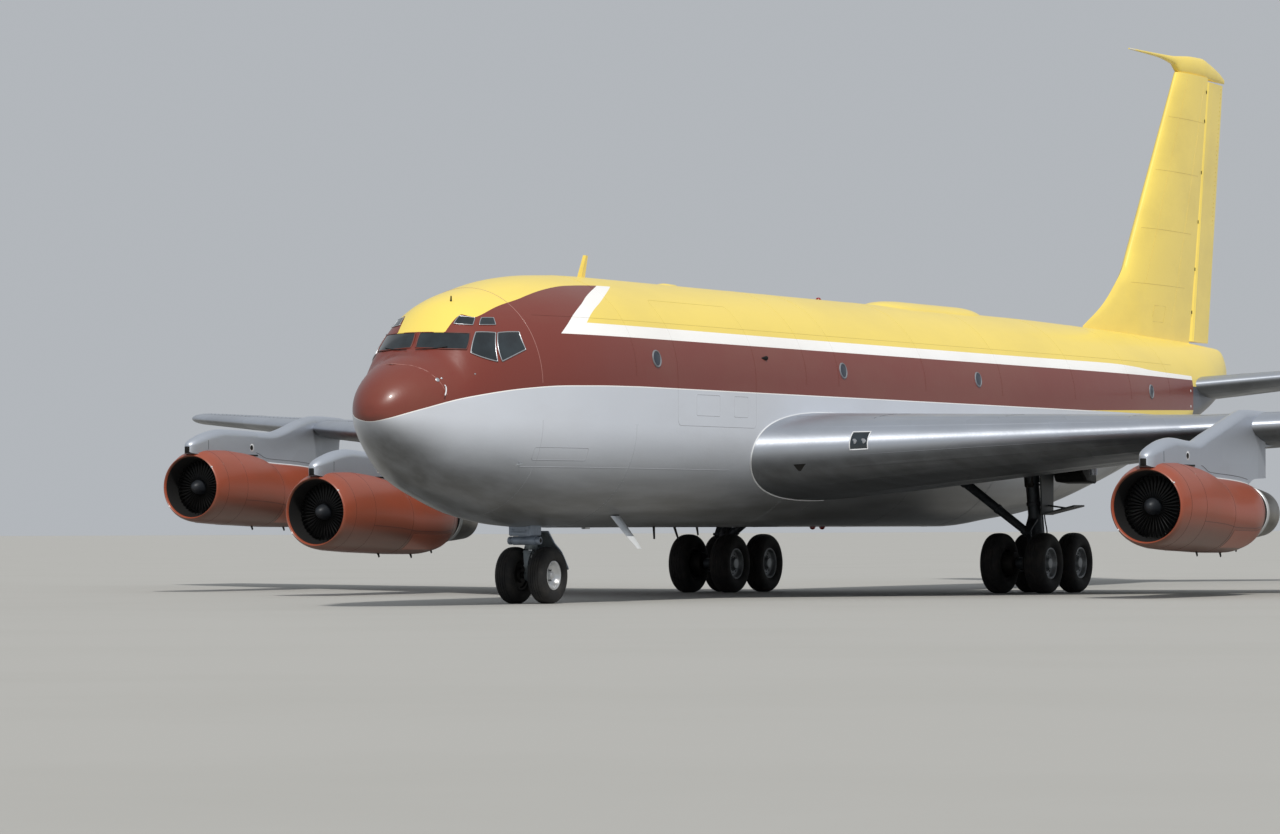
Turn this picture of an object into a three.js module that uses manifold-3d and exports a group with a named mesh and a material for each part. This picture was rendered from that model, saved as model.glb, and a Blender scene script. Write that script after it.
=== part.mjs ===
// A four-engined narrow-body jet airliner, parked on its gear. Millimetres.
// +X is port, +Y is aft, +Z is up. The origin is on the ground, on the centre line,
// halfway between the nose tip and the stabiliser tips.
import * as THREE from "three";
import { mergeVertices } from "three/addons/utils/BufferGeometryUtils.js";
import Module from "manifold-3d";

const wasm = await Module();
wasm.setup();

// Driving dimensions
const LENGTH = 38960;
const SPAN = 39520;
const FUSELAGE_LENGTH = 36420;
const HALF_WIDTH = 1676;
const CROWN = 5405;
const BELLY = 1239;
const GAP = 0.3;
const SPLIT = 0.45; // a neighbour is grown by this before it cuts a piece, which leaves about GAP
const SWING_CLEARANCE = 10;

const NOSE_AXLE_STATION = 5050;
const NOSE_TYRE_RADIUS = 470;
const NOSE_TYRE_WIDTH = 320;
const NOSE_TWIN_HALF_SPACING = 305;
const BOGIE_STATION = 18380;
const BOGIE_X = 3229;
const BOGIE_HALF_WHEELBASE = 706;
const MAIN_TYRE_RADIUS = 562;
const MAIN_TYRE_WIDTH = 390;
const MAIN_TWIN_HALF_SPACING = 440;
const WHEEL_SEGMENTS = 16;

// Stations are measured aft of the nose tip.
const along = (station) => station - LENGTH / 2;

// Fuselage sections: half an ellipse above the upper centre, half an ellipse below the lower one.
const FUSELAGE = table(
  ["station", "crown", "belly", "halfWidth", "upperCentre", "lowerCentre"],
  [0, 3085, 3005, 40, 3050, 3040],
  [50, 3245, 2845, 215, 3055, 3035],
  [200, 3455, 2625, 400, 3065, 3025],
  [500, 3685, 2365, 610, 3095, 3015],
  [900, 3885, 2085, 800, 3135, 2995],
  [1290, 4035, 1855, 965, 3185, 2975],
  [1480, 4305, 1785, 1040, 3215, 2970],
  [2110, 4835, 1615, 1240, 3335, 2955],
  [3050, 5095, 1395, 1440, 3495, 2935],
  [3930, 5265, 1285, 1570, 3605, 2925],
  [4840, 5355, 1245, 1640, 3685, 2915],
  [6400, CROWN, BELLY, HALF_WIDTH, 3729, 2915],
  [21000, CROWN, BELLY, HALF_WIDTH, 3729, 2915],
  [22700, 5400, 1355, HALF_WIDTH, 3729, 2935],
  [24600, 5395, 1515, 1660, 3745, 2975],
  [27200, 5365, 1995, 1560, 3825, 3115],
  [29500, 5330, 2515, 1370, 3935, 3375],
  [31500, 5295, 3005, 1130, 4075, 3675],
  [33500, 5245, 3515, 860, 4285, 4015],
  [35300, 5180, 3965, 440, 4515, 4355],
  [36000, 5145, 4155, 230, 4615, 4515],
  [36300, 4915, 4245, 140, 4575, 4535],
  [FUSELAGE_LENGTH, 4715, 4375, 70, 4555, 4545],
);

// Cockpit window band seen from the side, from its front lower corner round: station, height.
const WINDOW_BAND = [
  [1230, 4025], [1700, 4025], [2080, 3845], [2300, 3845], [2700, 4025], [2800, 4095],
  [2760, 4335], [1450, 4320],
];

// Raised fairing on the crown: station, height over the crown, half width.
const CROWN_FAIRING = table(
  ["station", "height", "halfWidth"],
  [17900, 5, 120], [18300, 70, 420], [19000, 105, 520],
  [21800, 105, 520], [22400, 60, 400], [22700, 5, 120],
);

// Wing sections of the port wing; edge is the leading edge's station, lift its height.
const WING = table(
  ["x", "edge", "chord", "lift", "thickness", "incidence"],
  [900, 9140, 11090, 2515, 0.140, 1.0],
  [2000, 10200, 10160, 2575, 0.140, 1.0],
  [7300, 15330, 5680, 2915, 0.112, 1.0],
  [13800, 20260, 4190, 3325, 0.100, 0.5],
  [SPAN / 2 - 60, 24790, 2840, 3695, 0.090, 0],
  [SPAN / 2, 25150, 2350, 3700, 0.070, 0],
);

const STABILISER = table(
  ["x", "edge", "chord", "lift", "thickness", "incidence"],
  [300, 31350, 5070, 4150, 0.095, 0],
  [900, 31950, 4740, 4225, 0.095, 0],
  [5980, 36980, 1950, 4855, 0.09, 0],
  [6060, 37220, 1740, 4860, 0.06, 0],
);

// Fin sections; x is the height, edge the leading edge's station.
const FIN = table(
  ["height", "edge", "chord", "thickness"],
  [5105, 29550, 5940, 0.085],
  [7115, 30920, 4910, 0.095],
  [11125, 33700, 2850, 0.095],
);

// Dorsal fillet ahead of the fin: station, top, half width at the foot.
const DORSAL = table(
  ["station", "top", "halfWidth"],
  [28400, 5395, 25], [29470, 5885, 60], [30390, 6525, 110], [31000, 7055, 160], [31600, 7105, 200],
);

// Fin tip cap, which runs forward into a probe.
const FIN_CAP = table(
  ["station", "low", "high", "halfWidth"],
  [31040, 11385, 11415, 15],
  [32600, 11365, 11435, 45],
  [33500, 11285, 11455, 75],
  [33900, 11105, 11485, 105],
  [34500, 11100, 11525, 135],
  [35100, 11095, 11535, 135],
  [35560, 11095, 11465, 110],
  [36270, 11095, 11305, 60],
  [36600, 11095, 11195, 25],
);

// Chord fractions of a flying surface's section, from the leading edge to the trailing edge.
const HINGE_FRACTION = 0.76;
const CHORD_FRACTIONS = [0, 0.008, 0.04, 0.12, 0.28, 0.5, HINGE_FRACTION, 1];
const TRAILING_EDGE_HALF_THICKNESS = 6;

// Engines: the inlet face's centre.
const ENGINES = table(
  ["name", "x", "station", "height"],
  ["engine_1", 13800, 15820, 2085],
  ["engine_2", 8180, 11470, 1555],
  ["engine_3", -8180, 11470, 1555],
  ["engine_4", -13800, 15820, 2085],
);

// Pod sections, measured from the inlet face and from the inlet's centre line.
const POD = table(
  ["offset", "top", "bottom", "halfWidth"],
  [0, 638, 638, 638],
  [60, 656, 668, 656],
  [350, 745, 712, 690],
  [900, 754, 742, 700],
  [1850, 682, 772, 695],
  [2250, 615, 785, 690],
  [2500, 530, 790, 680],
  [3500, 482, 797, 640],
  [4000, 455, 745, 580],
  [4400, 420, 635, 470],
);
const POD_SEGMENTS = 16;

// Inlet duct: offset, radius.
const DUCT = [[-50, 650], [50, 600], [250, 575], [520, 538]];
const ROTOR_OFFSET = 330;
const ROTOR_THICKNESS = 90;
const ROTOR_RADIUS = 520;
const ROTOR_BLADES = 12;
const ROTOR_BLADE = { thickness: 14, pitch: 35, sunkRoot: 30, edgeInset: 5 };
const ROTOR_SHAFT_RADIUS = 60;
const ROTOR_SHAFT_BORE_DEPTH = 140;
const BULLET_LENGTH = 240;
const BULLET_RADIUS = 150;
// Bullet outline ahead of the rotor: share of the length, share of the radius.
const BULLET_SHAPE = [[1, 0], [0.9, 0.42], [0.55, 0.8], [0.03, 1]];

// Core and tailpipe: offset, radius. Its axis falls towards the tail with the pod.
const CORE_OFFSET = 520;
const CORE = [
  [CORE_OFFSET, 440], [4380, 440], [4450, 485], [4560, 490], [4600, 465], [5320, 400],
];
const CORE_DROP_PER_LENGTH = 0.024;
const CORE_END = CORE[CORE.length - 1][0];
const NOZZLE_RADIUS = 350;
const NOZZLE_DEPTH = 400;
const SHAFT_RUNNING_GAP = 1.6;
const OVERCUT = 100; // a cutting tool reaches this far past what it cuts

// Pylon sections, measured from the inlet face and from the inlet's centre line.
const PYLON = table(
  ["offset", "bottom", "innerTop", "outerTop", "halfWidth"],
  [-110, 690, 860, 850, 50],
  [-50, 660, 910, 900, 100],
  [80, 610, 975, 960, 140],
  [350, 350, 1055, 1050, 168],
  [650, 300, 1125, 1115, 172],
  [1050, 300, 1165, 1160, 170],
  [2000, 300, 1120, 1145, 160],
  [2690, 300, 1275, 1120, 156],
  [4120, 300, 1640, 1435, 150],
  [4400, 380, 1700, 1480, 147],
  [4750, 490, 1710, 1490, 143],
  [5400, 510, 1705, 1475, 110],
  [5480, 530, 1700, 1470, 40],
  [5560, 1050, 1700, 1465, 35],
  [7300, 1150, 1450, 1250, 30],
);
const OUTER_ENGINE_X = 10000; // engines farther out than this have the outer pylon

// Small helpers

function table(columns, ...rows) {
  return rows.map((row) => Object.fromEntries(columns.map((name, i) => [name, row[i]])));
}

function oriented(geometry) {
  const position = geometry.getAttribute("position");
  const index = geometry.getIndex();
  const a = new THREE.Vector3();
  const b = new THREE.Vector3();
  const c = new THREE.Vector3();
  let volume = 0;
  for (let i = 0; i < index.count; i += 3) {
    a.fromBufferAttribute(position, index.getX(i));
    b.fromBufferAttribute(position, index.getX(i + 1));
    c.fromBufferAttribute(position, index.getX(i + 2));
    volume += a.dot(b.cross(c));
  }
  if (volume < 0) {
    const array = index.array;
    for (let i = 0; i < array.length; i += 3) {
      [array[i + 1], array[i + 2]] = [array[i + 2], array[i + 1]];
    }
  }
  return geometry;
}

// A closed solid through rings of equally many points, with a flat end on each side.
function loft(rings) {
  const count = rings[0].length;
  const positions = rings.flat(2);
  const index = [];
  for (let r = 0; r + 1 < rings.length; r++) {
    for (let i = 0; i < count; i++) {
      const a = r * count + i;
      const b = r * count + ((i + 1) % count);
      index.push(a, b, b + count, a, b + count, a + count);
    }
  }
  for (const [ring, first, flip] of [
    [rings[0], 0, true], [rings[rings.length - 1], (rings.length - 1) * count, false],
  ]) {
    const centre = [0, 1, 2].map((axis) => ring.reduce((sum, p) => sum + p[axis], 0) / count);
    const middle = positions.length / 3;
    positions.push(...centre);
    for (let i = 0; i < count; i++) {
      const a = first + i;
      const b = first + ((i + 1) % count);
      index.push(...(flip ? [middle, b, a] : [middle, a, b]));
    }
  }
  const geometry = new THREE.BufferGeometry();
  geometry.setAttribute("position", new THREE.Float32BufferAttribute(positions, 3));
  geometry.setIndex(index);
  return oriented(geometry);
}

function solid(geometry) {
  const bare = geometry.clone();
  bare.deleteAttribute("normal");
  bare.deleteAttribute("uv");
  const merged = oriented(mergeVertices(bare, 1e-3));
  return new wasm.Manifold(new wasm.Mesh({
    numProp: 3,
    vertProperties: Float32Array.from(merged.getAttribute("position").array),
    triVerts: Uint32Array.from(merged.getIndex().array),
  }));
}

function geometryOf(manifold) {
  const mesh = manifold.getMesh();
  const geometry = new THREE.BufferGeometry();
  geometry.setAttribute("position", new THREE.Float32BufferAttribute(mesh.vertProperties, 3));
  geometry.setIndex(Array.from(mesh.triVerts));
  return geometry;
}

// The same solid with every vertex moved out along its normal.
function grown(manifold, distance = SPLIT) {
  const geometry = mergeVertices(geometryOf(manifold), 1e-3);
  geometry.computeVertexNormals();
  const position = geometry.getAttribute("position");
  const normal = geometry.getAttribute("normal");
  for (let i = 0; i < position.count; i++) {
    position.setXYZ(
      i,
      position.getX(i) + normal.getX(i) * distance,
      position.getY(i) + normal.getY(i) * distance,
      position.getZ(i) + normal.getZ(i) * distance,
    );
  }
  return solid(geometry);
}

// A side-view outline of (station, height) points, given a thickness across X.
function sidePlate(outline, thickness, x = 0) {
  const shape = new THREE.Shape(outline.map(([station, height]) => new THREE.Vector2(along(station), height)));
  const geometry = new THREE.ExtrudeGeometry(shape, { depth: thickness, bevelEnabled: false });
  geometry.translate(0, 0, -thickness / 2);
  // Shape x, y and depth become Y, Z and X.
  geometry.applyMatrix4(new THREE.Matrix4().set(0, 0, 1, x, 1, 0, 0, 0, 0, 1, 0, 0, 0, 0, 0, 1));
  return solid(geometry);
}

// A plan-view outline of (x, station) points between two heights.
function planPrism(outline, low, high) {
  const shape = new THREE.Shape(outline.map(([x, station]) => new THREE.Vector2(x, along(station))));
  const geometry = new THREE.ExtrudeGeometry(shape, { depth: high - low, bevelEnabled: false });
  geometry.translate(0, 0, low);
  return solid(geometry);
}

// A round bar between two points given as [x, station, height].
function bar(from, to, radiusFrom, radiusTo = radiusFrom, segments = 8) {
  const start = new THREE.Vector3(from[0], along(from[1]), from[2]);
  const end = new THREE.Vector3(to[0], along(to[1]), to[2]);
  const direction = end.clone().sub(start);
  const length = direction.length();
  const geometry = new THREE.CylinderGeometry(radiusTo, radiusFrom, length, segments);
  const turn = new THREE.Quaternion().setFromUnitVectors(
    new THREE.Vector3(0, 1, 0), direction.normalize());
  geometry.applyQuaternion(turn);
  geometry.translate(...start.add(end).multiplyScalar(0.5).toArray());
  return solid(geometry);
}

// A box given by its ranges along X, station and height.
function block([x0, x1], [station0, station1], [low, high]) {
  const geometry = new THREE.BoxGeometry(x1 - x0, station1 - station0, high - low);
  geometry.translate((x0 + x1) / 2, along((station0 + station1) / 2), (low + high) / 2);
  return solid(geometry);
}

// A solid of revolution about X; the profile lists (radius, x).
function turnedAboutX(profile, [x, station, height], segments = WHEEL_SEGMENTS) {
  const geometry = new THREE.LatheGeometry(
    profile.map(([radius, offset]) => new THREE.Vector2(radius, offset)), segments);
  // Half a segment's turn puts a flat at the bottom.
  geometry.rotateY(Math.PI / segments);
  geometry.rotateZ(-Math.PI / 2);
  geometry.translate(x, along(station), height);
  return solid(geometry);
}

// A solid of revolution about Y; the profile lists (offset aft, radius).
function turnedAboutY(profile, [x, station, height], segments = POD_SEGMENTS) {
  const geometry = new THREE.LatheGeometry(
    profile.map(([offset, radius]) => new THREE.Vector2(radius, offset)), segments);
  geometry.translate(x, along(station), height);
  return solid(geometry);
}

function mirrored(manifold) {
  return manifold.mirror([1, 0, 0]);
}

// The port half of a solid joined to its mirror image.
function symmetric(manifold) {
  const half = manifold.trimByPlane([1, 0, 0], 0);
  return half.add(mirrored(half));
}

function interpolated(rows, key, value) {
  const last = rows.length - 2;
  let i = 0;
  while (i < last && rows[i + 1][key] < value) i++;
  const t = (value - rows[i][key]) / (rows[i + 1][key] - rows[i][key]);
  return Object.fromEntries(Object.keys(rows[i]).map(
    (name) => [name, rows[i][name] + t * (rows[i + 1][name] - rows[i][name])]));
}

// Fuselage

const HALF_RING_STEPS = 14;

function fuselageRing({ station, crown, belly, halfWidth, upperCentre, lowerCentre }) {
  const ring = [];
  for (let i = 0; i <= HALF_RING_STEPS; i++) {
    const angle = (Math.PI * i) / HALF_RING_STEPS;
    ring.push([
      halfWidth * Math.cos(angle), along(station),
      upperCentre + (crown - upperCentre) * Math.sin(angle),
    ]);
  }
  for (let i = 0; i <= HALF_RING_STEPS; i++) {
    const angle = (Math.PI * i) / HALF_RING_STEPS;
    ring.push([
      -halfWidth * Math.cos(angle), along(station),
      lowerCentre - (lowerCentre - belly) * Math.sin(angle),
    ]);
  }
  return ring;
}

function crownFairing() {
  const steps = 8;
  return loft(CROWN_FAIRING.map(({ station, height, halfWidth }) => {
    const ring = [];
    for (let i = 0; i <= steps; i++) {
      const angle = (Math.PI * i) / steps;
      ring.push([
        halfWidth * Math.cos(angle), along(station),
        CROWN - 150 + (150 + height) * Math.sin(angle),
      ]);
    }
    return ring;
  }));
}

// Flying surfaces

function halfThickness(fraction, thickness, chord) {
  const closed = 5 * thickness * chord * (0.2969 * Math.sqrt(fraction) - 0.126 * fraction
    - 0.3516 * fraction ** 2 + 0.2843 * fraction ** 3 - 0.1036 * fraction ** 4);
  return Math.max(closed, 0) + TRAILING_EDGE_HALF_THICKNESS * fraction;
}

// A section's outline as (offset aft of the leading edge, height over it) pairs.
function sectionOutline({ chord, thickness, incidence = 0 }) {
  const drop = Math.tan(THREE.MathUtils.degToRad(incidence));
  const upper = CHORD_FRACTIONS.map((fraction) => [
    fraction * chord, halfThickness(fraction, thickness, chord) - drop * fraction * chord]);
  const lower = CHORD_FRACTIONS.slice(1).reverse().map((fraction) => [
    fraction * chord, -halfThickness(fraction, thickness, chord) - drop * fraction * chord]);
  return [...upper, ...lower];
}

function surfaceLoft(rows) {
  return solid(loft(rows.map((row) => sectionOutline(row).map(
    ([aft, up]) => [row.x, along(row.edge + aft), row.lift + up]))));
}

// The middle of a surface's thickness at its hinge line, and half the thickness there.
function hingeAt(rows, x) {
  const row = interpolated(rows, "x", x);
  const drop = Math.tan(THREE.MathUtils.degToRad(row.incidence));
  const aft = HINGE_FRACTION * row.chord;
  return {
    point: [x, row.edge + aft, row.lift - drop * aft],
    radius: halfThickness(HINGE_FRACTION, row.thickness, row.chord),
  };
}

// A box around the hinge line between two points, reaching from fore to aft of it.
function hingeBox(from, to, fore, aft, endGap, height = 1500) {
  const start = new THREE.Vector3(from[0], along(from[1]), from[2]);
  const end = new THREE.Vector3(to[0], along(to[1]), to[2]);
  const axis = end.clone().sub(start).normalize();
  const aftward = new THREE.Vector3(0, 1, 0).addScaledVector(axis, -axis.y).normalize();
  const up = axis.clone().cross(aftward);
  const length = start.distanceTo(end) + 2 * endGap;
  const geometry = new THREE.BoxGeometry(length, fore + aft, height);
  geometry.translate(0, (aft - fore) / 2, 0);
  geometry.applyMatrix4(new THREE.Matrix4().makeBasis(axis, aftward, up));
  geometry.translate(...start.add(end).multiplyScalar(0.5).toArray());
  return solid(geometry);
}

const HINGE_PIN_RADIUS = 20;
const HINGE_BORE_RADIUS = 20.95;
const HINGE_PIN_LENGTH = 60;
const HINGE_PIN_FACETS = 12;
const NOSE_FILL = 0.94; // the round nose's radius as a share of half the thickness at the hinge

function pointBeyond(from, to, distance) {
  const start = new THREE.Vector3(...from);
  const direction = new THREE.Vector3(...to).sub(start).normalize();
  return start.addScaledVector(direction, -distance).toArray();
}

const hingePin = (start, end, radius) => bar(start, end, radius, radius, HINGE_PIN_FACETS);

// Splits a trailing edge surface off its carrier, with a round nose about the hinge line
// and a pin at each end.
function hinged(carrier, start, end, reach) {
  const noseRadius = NOSE_FILL * Math.max(start.radius, end.radius);
  const slab = hingeBox(start.point, end.point, 0, reach, 0);
  const nose = bar(start.point, end.point, NOSE_FILL * start.radius, NOSE_FILL * end.radius, 12);
  const bay = hingeBox(start.point, end.point, noseRadius + SWING_CLEARANCE, reach, SWING_CLEARANCE);
  let surface = carrier.intersect(slab).add(nose);
  let rest = carrier.subtract(bay);
  for (const [near, far] of [[start.point, end.point], [end.point, start.point]]) {
    const root = pointBeyond(near, far, 2 * HINGE_PIN_LENGTH);
    const tip = pointBeyond(near, far, -HINGE_PIN_LENGTH);
    const bottom = pointBeyond(near, far, -HINGE_PIN_LENGTH - SWING_CLEARANCE);
    rest = rest.add(hingePin(root, tip, HINGE_PIN_RADIUS));
    surface = surface.subtract(hingePin(root, bottom, HINGE_BORE_RADIUS));
  }
  return { surface, rest };
}

// Fuselage, with the cockpit glazing let into it

const solids = {};

const glassBlock = sidePlate(WINDOW_BAND, 3 * HALF_WIDTH);
const hull = symmetric(solid(loft(FUSELAGE.map(fuselageRing))));
solids.cockpit_windows = hull.intersect(glassBlock);

// Jacking pads have flat lower faces.
const JACK_PAD_RADIUS = 70;
const JACK_PAD_DEPTH = 25;
const NOSE_JACK_PAD = [0, 6900, BELLY];
const WING_JACK_PAD = [4700, 17600, 2185];
const JACK_PAD_ROOT = 200; // how far a pad reaches up into what carries it
const padUnder = ([x, station, height]) => bar(
  [x, station, height + JACK_PAD_ROOT], [x, station, height - JACK_PAD_DEPTH],
  JACK_PAD_RADIUS, JACK_PAD_RADIUS, 16);

const NOSE_WELL = { halfWidth: 300, front: 4560, back: 5500, roof: 1755 };
const noseWell = block(
  [-NOSE_WELL.halfWidth, NOSE_WELL.halfWidth], [NOSE_WELL.front, NOSE_WELL.back],
  [BELLY - JACK_PAD_ROOT, NOSE_WELL.roof]);

const RUDDER = {
  hingeLow: [0, 34260, 5245], hingeHigh: [0, 35480, 11055], bottom: 5260, top: 11045, reach: 1600,
};

let fuselage = hull
  .subtract(grown(glassBlock))
  .add(solid(crownFairing()))
  .add(padUnder(NOSE_JACK_PAD))
  .subtract(noseWell);
const fuselageCut = grown(fuselage);

// Crown antenna: a swept blade from its foot, which is cut off at the skin, to its tip.
const BLADE = {
  footFront: 6595, footBack: 6888, foot: CROWN - 80, tipFront: 6850, tipBack: 7020, tip: 5785,
  halfThickness: 22, thickest: 0.4,
};
const bladeRing = (front, back, height) => [
  [0, along(front), height],
  [BLADE.halfThickness, along(front + BLADE.thickest * (back - front)), height],
  [0, along(back), height],
  [-BLADE.halfThickness, along(front + BLADE.thickest * (back - front)), height],
];
solids.blade_antenna = solid(loft([
  bladeRing(BLADE.footFront, BLADE.footBack, BLADE.foot),
  bladeRing(BLADE.tipFront, BLADE.tipBack, BLADE.tip),
])).subtract(fuselageCut);

// Wings, made for the port side

const AILERON = { inner: 13900, outer: 18000, reach: 1500 };
const FLAPS = table(
  ["name", "inner", "outer", "front"],
  ["flap_inboard", 2100, 7150, 0.80],
  ["flap_outboard", 8950, 13300, 0.76],
);

const PAST_EDGE = 1.2; // a chord fraction well aft of the trailing edge
const ABOVE_WINGS = 6000;
const port = {};
const aileron = hinged(
  surfaceLoft(WING), hingeAt(WING, AILERON.inner), hingeAt(WING, AILERON.outer), AILERON.reach);
port.aileron = aileron.surface;
let wing = aileron.rest;
for (const { name, inner, outer, front } of FLAPS) {
  const corner = (x, fraction) => {
    const row = interpolated(WING, "x", x);
    return [x, row.edge + fraction * row.chord];
  };
  const outline = [
    corner(inner, front), corner(outer, front), corner(outer, PAST_EDGE), corner(inner, PAST_EDGE)];
  const prism = planPrism(outline, 0, ABOVE_WINGS);
  port[name] = wing.intersect(prism);
  wing = wing.subtract(grown(prism));
}
port.wing = wing.subtract(fuselageCut).add(padUnder(WING_JACK_PAD));
const wingCut = grown(port.wing);

// Tail

const ELEVATOR = { inner: 1050, outer: 5650, reach: 1400 };
const elevator = hinged(
  surfaceLoft(STABILISER), hingeAt(STABILISER, ELEVATOR.inner), hingeAt(STABILISER, ELEVATOR.outer),
  ELEVATOR.reach);
port.elevator = elevator.surface;
port.stabiliser = elevator.rest.subtract(fuselageCut);

const finAndRudder = solid(loft(FIN.map((row) => sectionOutline(row).map(
  ([aft, side]) => [side, along(row.edge + aft), row.height]))));
const DORSAL_FOOT = 5050;
const DORSAL_CREST = 20;
const dorsal = solid(loft(DORSAL.map(({ station, top, halfWidth }) => {
  const crest = Math.min(DORSAL_CREST, halfWidth / 2);
  const middle = (top + CROWN) / 2;
  return [
    [-halfWidth, along(station), DORSAL_FOOT], [halfWidth, along(station), DORSAL_FOOT],
    [0.75 * halfWidth, along(station), middle], [crest, along(station), top],
    [-crest, along(station), top], [-0.75 * halfWidth, along(station), middle],
  ];
})));
const cap = solid(loft(FIN_CAP.map(({ station, low, high, halfWidth }) => [
  [-halfWidth / 2, along(station), low], [halfWidth / 2, along(station), low],
  [halfWidth, along(station), (low + high) / 2], [halfWidth / 2, along(station), high],
  [-halfWidth / 2, along(station), high], [-halfWidth, along(station), (low + high) / 2],
])));

const RUDDER_NOSE_LOW = 170;
const RUDDER_NOSE_HIGH = 95;
const RUDDER_TOP_GAP = 40;
const hingeSlope = (RUDDER.hingeHigh[1] - RUDDER.hingeLow[1]) / (RUDDER.hingeHigh[2] - RUDDER.hingeLow[2]);
const rudderHingeStation = (height) => RUDDER.hingeLow[1] + hingeSlope * (height - RUDDER.hingeLow[2]);
const rudderRegion = (low, high, foreLow, foreHigh) => sidePlate([
  [rudderHingeStation(low) - foreLow, low], [rudderHingeStation(low) + RUDDER.reach, low],
  [rudderHingeStation(high) + RUDDER.reach, high], [rudderHingeStation(high) - foreHigh, high],
], HALF_WIDTH);
const rudderNose = bar(
  pointBeyond(RUDDER.hingeLow, RUDDER.hingeHigh, HINGE_PIN_LENGTH),
  pointBeyond(RUDDER.hingeHigh, RUDDER.hingeLow, HINGE_PIN_LENGTH),
  RUDDER_NOSE_LOW, RUDDER_NOSE_HIGH, 12)
  .intersect(rudderRegion(RUDDER.bottom, RUDDER.top, 2 * RUDDER_NOSE_LOW, 2 * RUDDER_NOSE_LOW));
const rudderPins = [
  [RUDDER.hingeLow, RUDDER.hingeHigh, 3 * HINGE_PIN_LENGTH],
  [RUDDER.hingeHigh, RUDDER.hingeLow, 2 * HINGE_PIN_LENGTH],
].map(([near, far, root]) => ({
  pin: hingePin(pointBeyond(near, far, root), pointBeyond(near, far, -HINGE_PIN_LENGTH), HINGE_PIN_RADIUS),
  bore: hingePin(pointBeyond(near, far, root),
    pointBeyond(near, far, -HINGE_PIN_LENGTH - SWING_CLEARANCE), HINGE_BORE_RADIUS),
}));
solids.rudder = finAndRudder.intersect(rudderRegion(RUDDER.bottom, RUDDER.top, 0, 0))
  .add(rudderNose).subtract(rudderPins[0].bore).subtract(rudderPins[1].bore);
solids.fin = finAndRudder
  .subtract(rudderRegion(
    DORSAL_FOOT - OVERCUT, RUDDER.top + RUDDER_TOP_GAP, RUDDER_NOSE_LOW + 4 * SWING_CLEARANCE,
    RUDDER_NOSE_HIGH + 2 * SWING_CLEARANCE))
  .add(dorsal).subtract(fuselageCut).add(cap).add(rudderPins[1].pin);
solids.fuselage = fuselage.add(rudderPins[0].pin);

// Engines: the cowl with its duct, the rotor on its shaft, the core block with the tailpipe, the pylon

function podRing({ offset, top, bottom, halfWidth }, { x, station, height }) {
  const ring = [];
  const centre = (top - bottom) / 2;
  for (let i = 0; i < POD_SEGMENTS; i++) {
    const angle = (2 * Math.PI * i) / POD_SEGMENTS;
    ring.push([
      x + halfWidth * Math.cos(angle), along(station + offset),
      height + centre + ((top + bottom) / 2) * Math.sin(angle),
    ]);
  }
  return ring;
}

function coreRing([offset, radius], { x, station, height }, grow = 0) {
  const ring = [];
  const drop = CORE_DROP_PER_LENGTH * (offset - CORE_OFFSET);
  for (let i = 0; i < POD_SEGMENTS; i++) {
    const angle = (2 * Math.PI * i) / POD_SEGMENTS;
    ring.push([
      x + (radius + grow) * Math.cos(angle), along(station + offset),
      height - drop + (radius + grow) * Math.sin(angle),
    ]);
  }
  return ring;
}

function rotor(engine) {
  const { x, station, height } = engine;
  const front = station + ROTOR_OFFSET;
  const hub = turnedAboutY([
    ...BULLET_SHAPE.map(([length, radius]) => [ROTOR_OFFSET - length * BULLET_LENGTH, radius * BULLET_RADIUS]),
    [ROTOR_OFFSET + ROTOR_THICKNESS, BULLET_RADIUS],
    [ROTOR_OFFSET + ROTOR_THICKNESS, ROTOR_SHAFT_RADIUS],
    [CORE_OFFSET + ROTOR_SHAFT_BORE_DEPTH - SWING_CLEARANCE, ROTOR_SHAFT_RADIUS],
    [CORE_OFFSET + ROTOR_SHAFT_BORE_DEPTH - SWING_CLEARANCE, 0],
  ], [x, station, height], ROTOR_BLADES);
  let wheel = hub;
  for (let i = 0; i < ROTOR_BLADES; i++) {
    const root = BULLET_RADIUS - ROTOR_BLADE.sunkRoot;
    const blade = new THREE.BoxGeometry(
      ROTOR_BLADE.thickness, ROTOR_THICKNESS - 2 * ROTOR_BLADE.edgeInset, ROTOR_RADIUS - root);
    blade.rotateZ(THREE.MathUtils.degToRad(ROTOR_BLADE.pitch));
    blade.translate(0, 0, (ROTOR_RADIUS + root) / 2);
    blade.rotateY((2 * Math.PI * (i + 0.5)) / ROTOR_BLADES);
    blade.translate(x, along(front + ROTOR_THICKNESS / 2), height);
    wheel = wheel.add(solid(blade));
  }
  return wheel;
}

function pylon(engine, wingSolid, cowl) {
  const { x, station, height } = engine;
  const blade = solid(loft(PYLON.map(({ offset, bottom, innerTop, outerTop, halfWidth }) => {
    const at = along(station + offset);
    const top = Math.abs(x) > OUTER_ENGINE_X ? outerTop : innerTop;
    return [
      [x - halfWidth, at, height + bottom], [x + halfWidth, at, height + bottom],
      [x + halfWidth, at, height + top - 0.9 * halfWidth],
      [x + 0.7 * halfWidth, at, height + top - 0.27 * halfWidth],
      [x, at, height + top],
      [x - 0.7 * halfWidth, at, height + top - 0.27 * halfWidth],
      [x - halfWidth, at, height + top - 0.9 * halfWidth],
    ];
  })));
  return blade.subtract(cowl).subtract(wingSolid);
}

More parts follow.
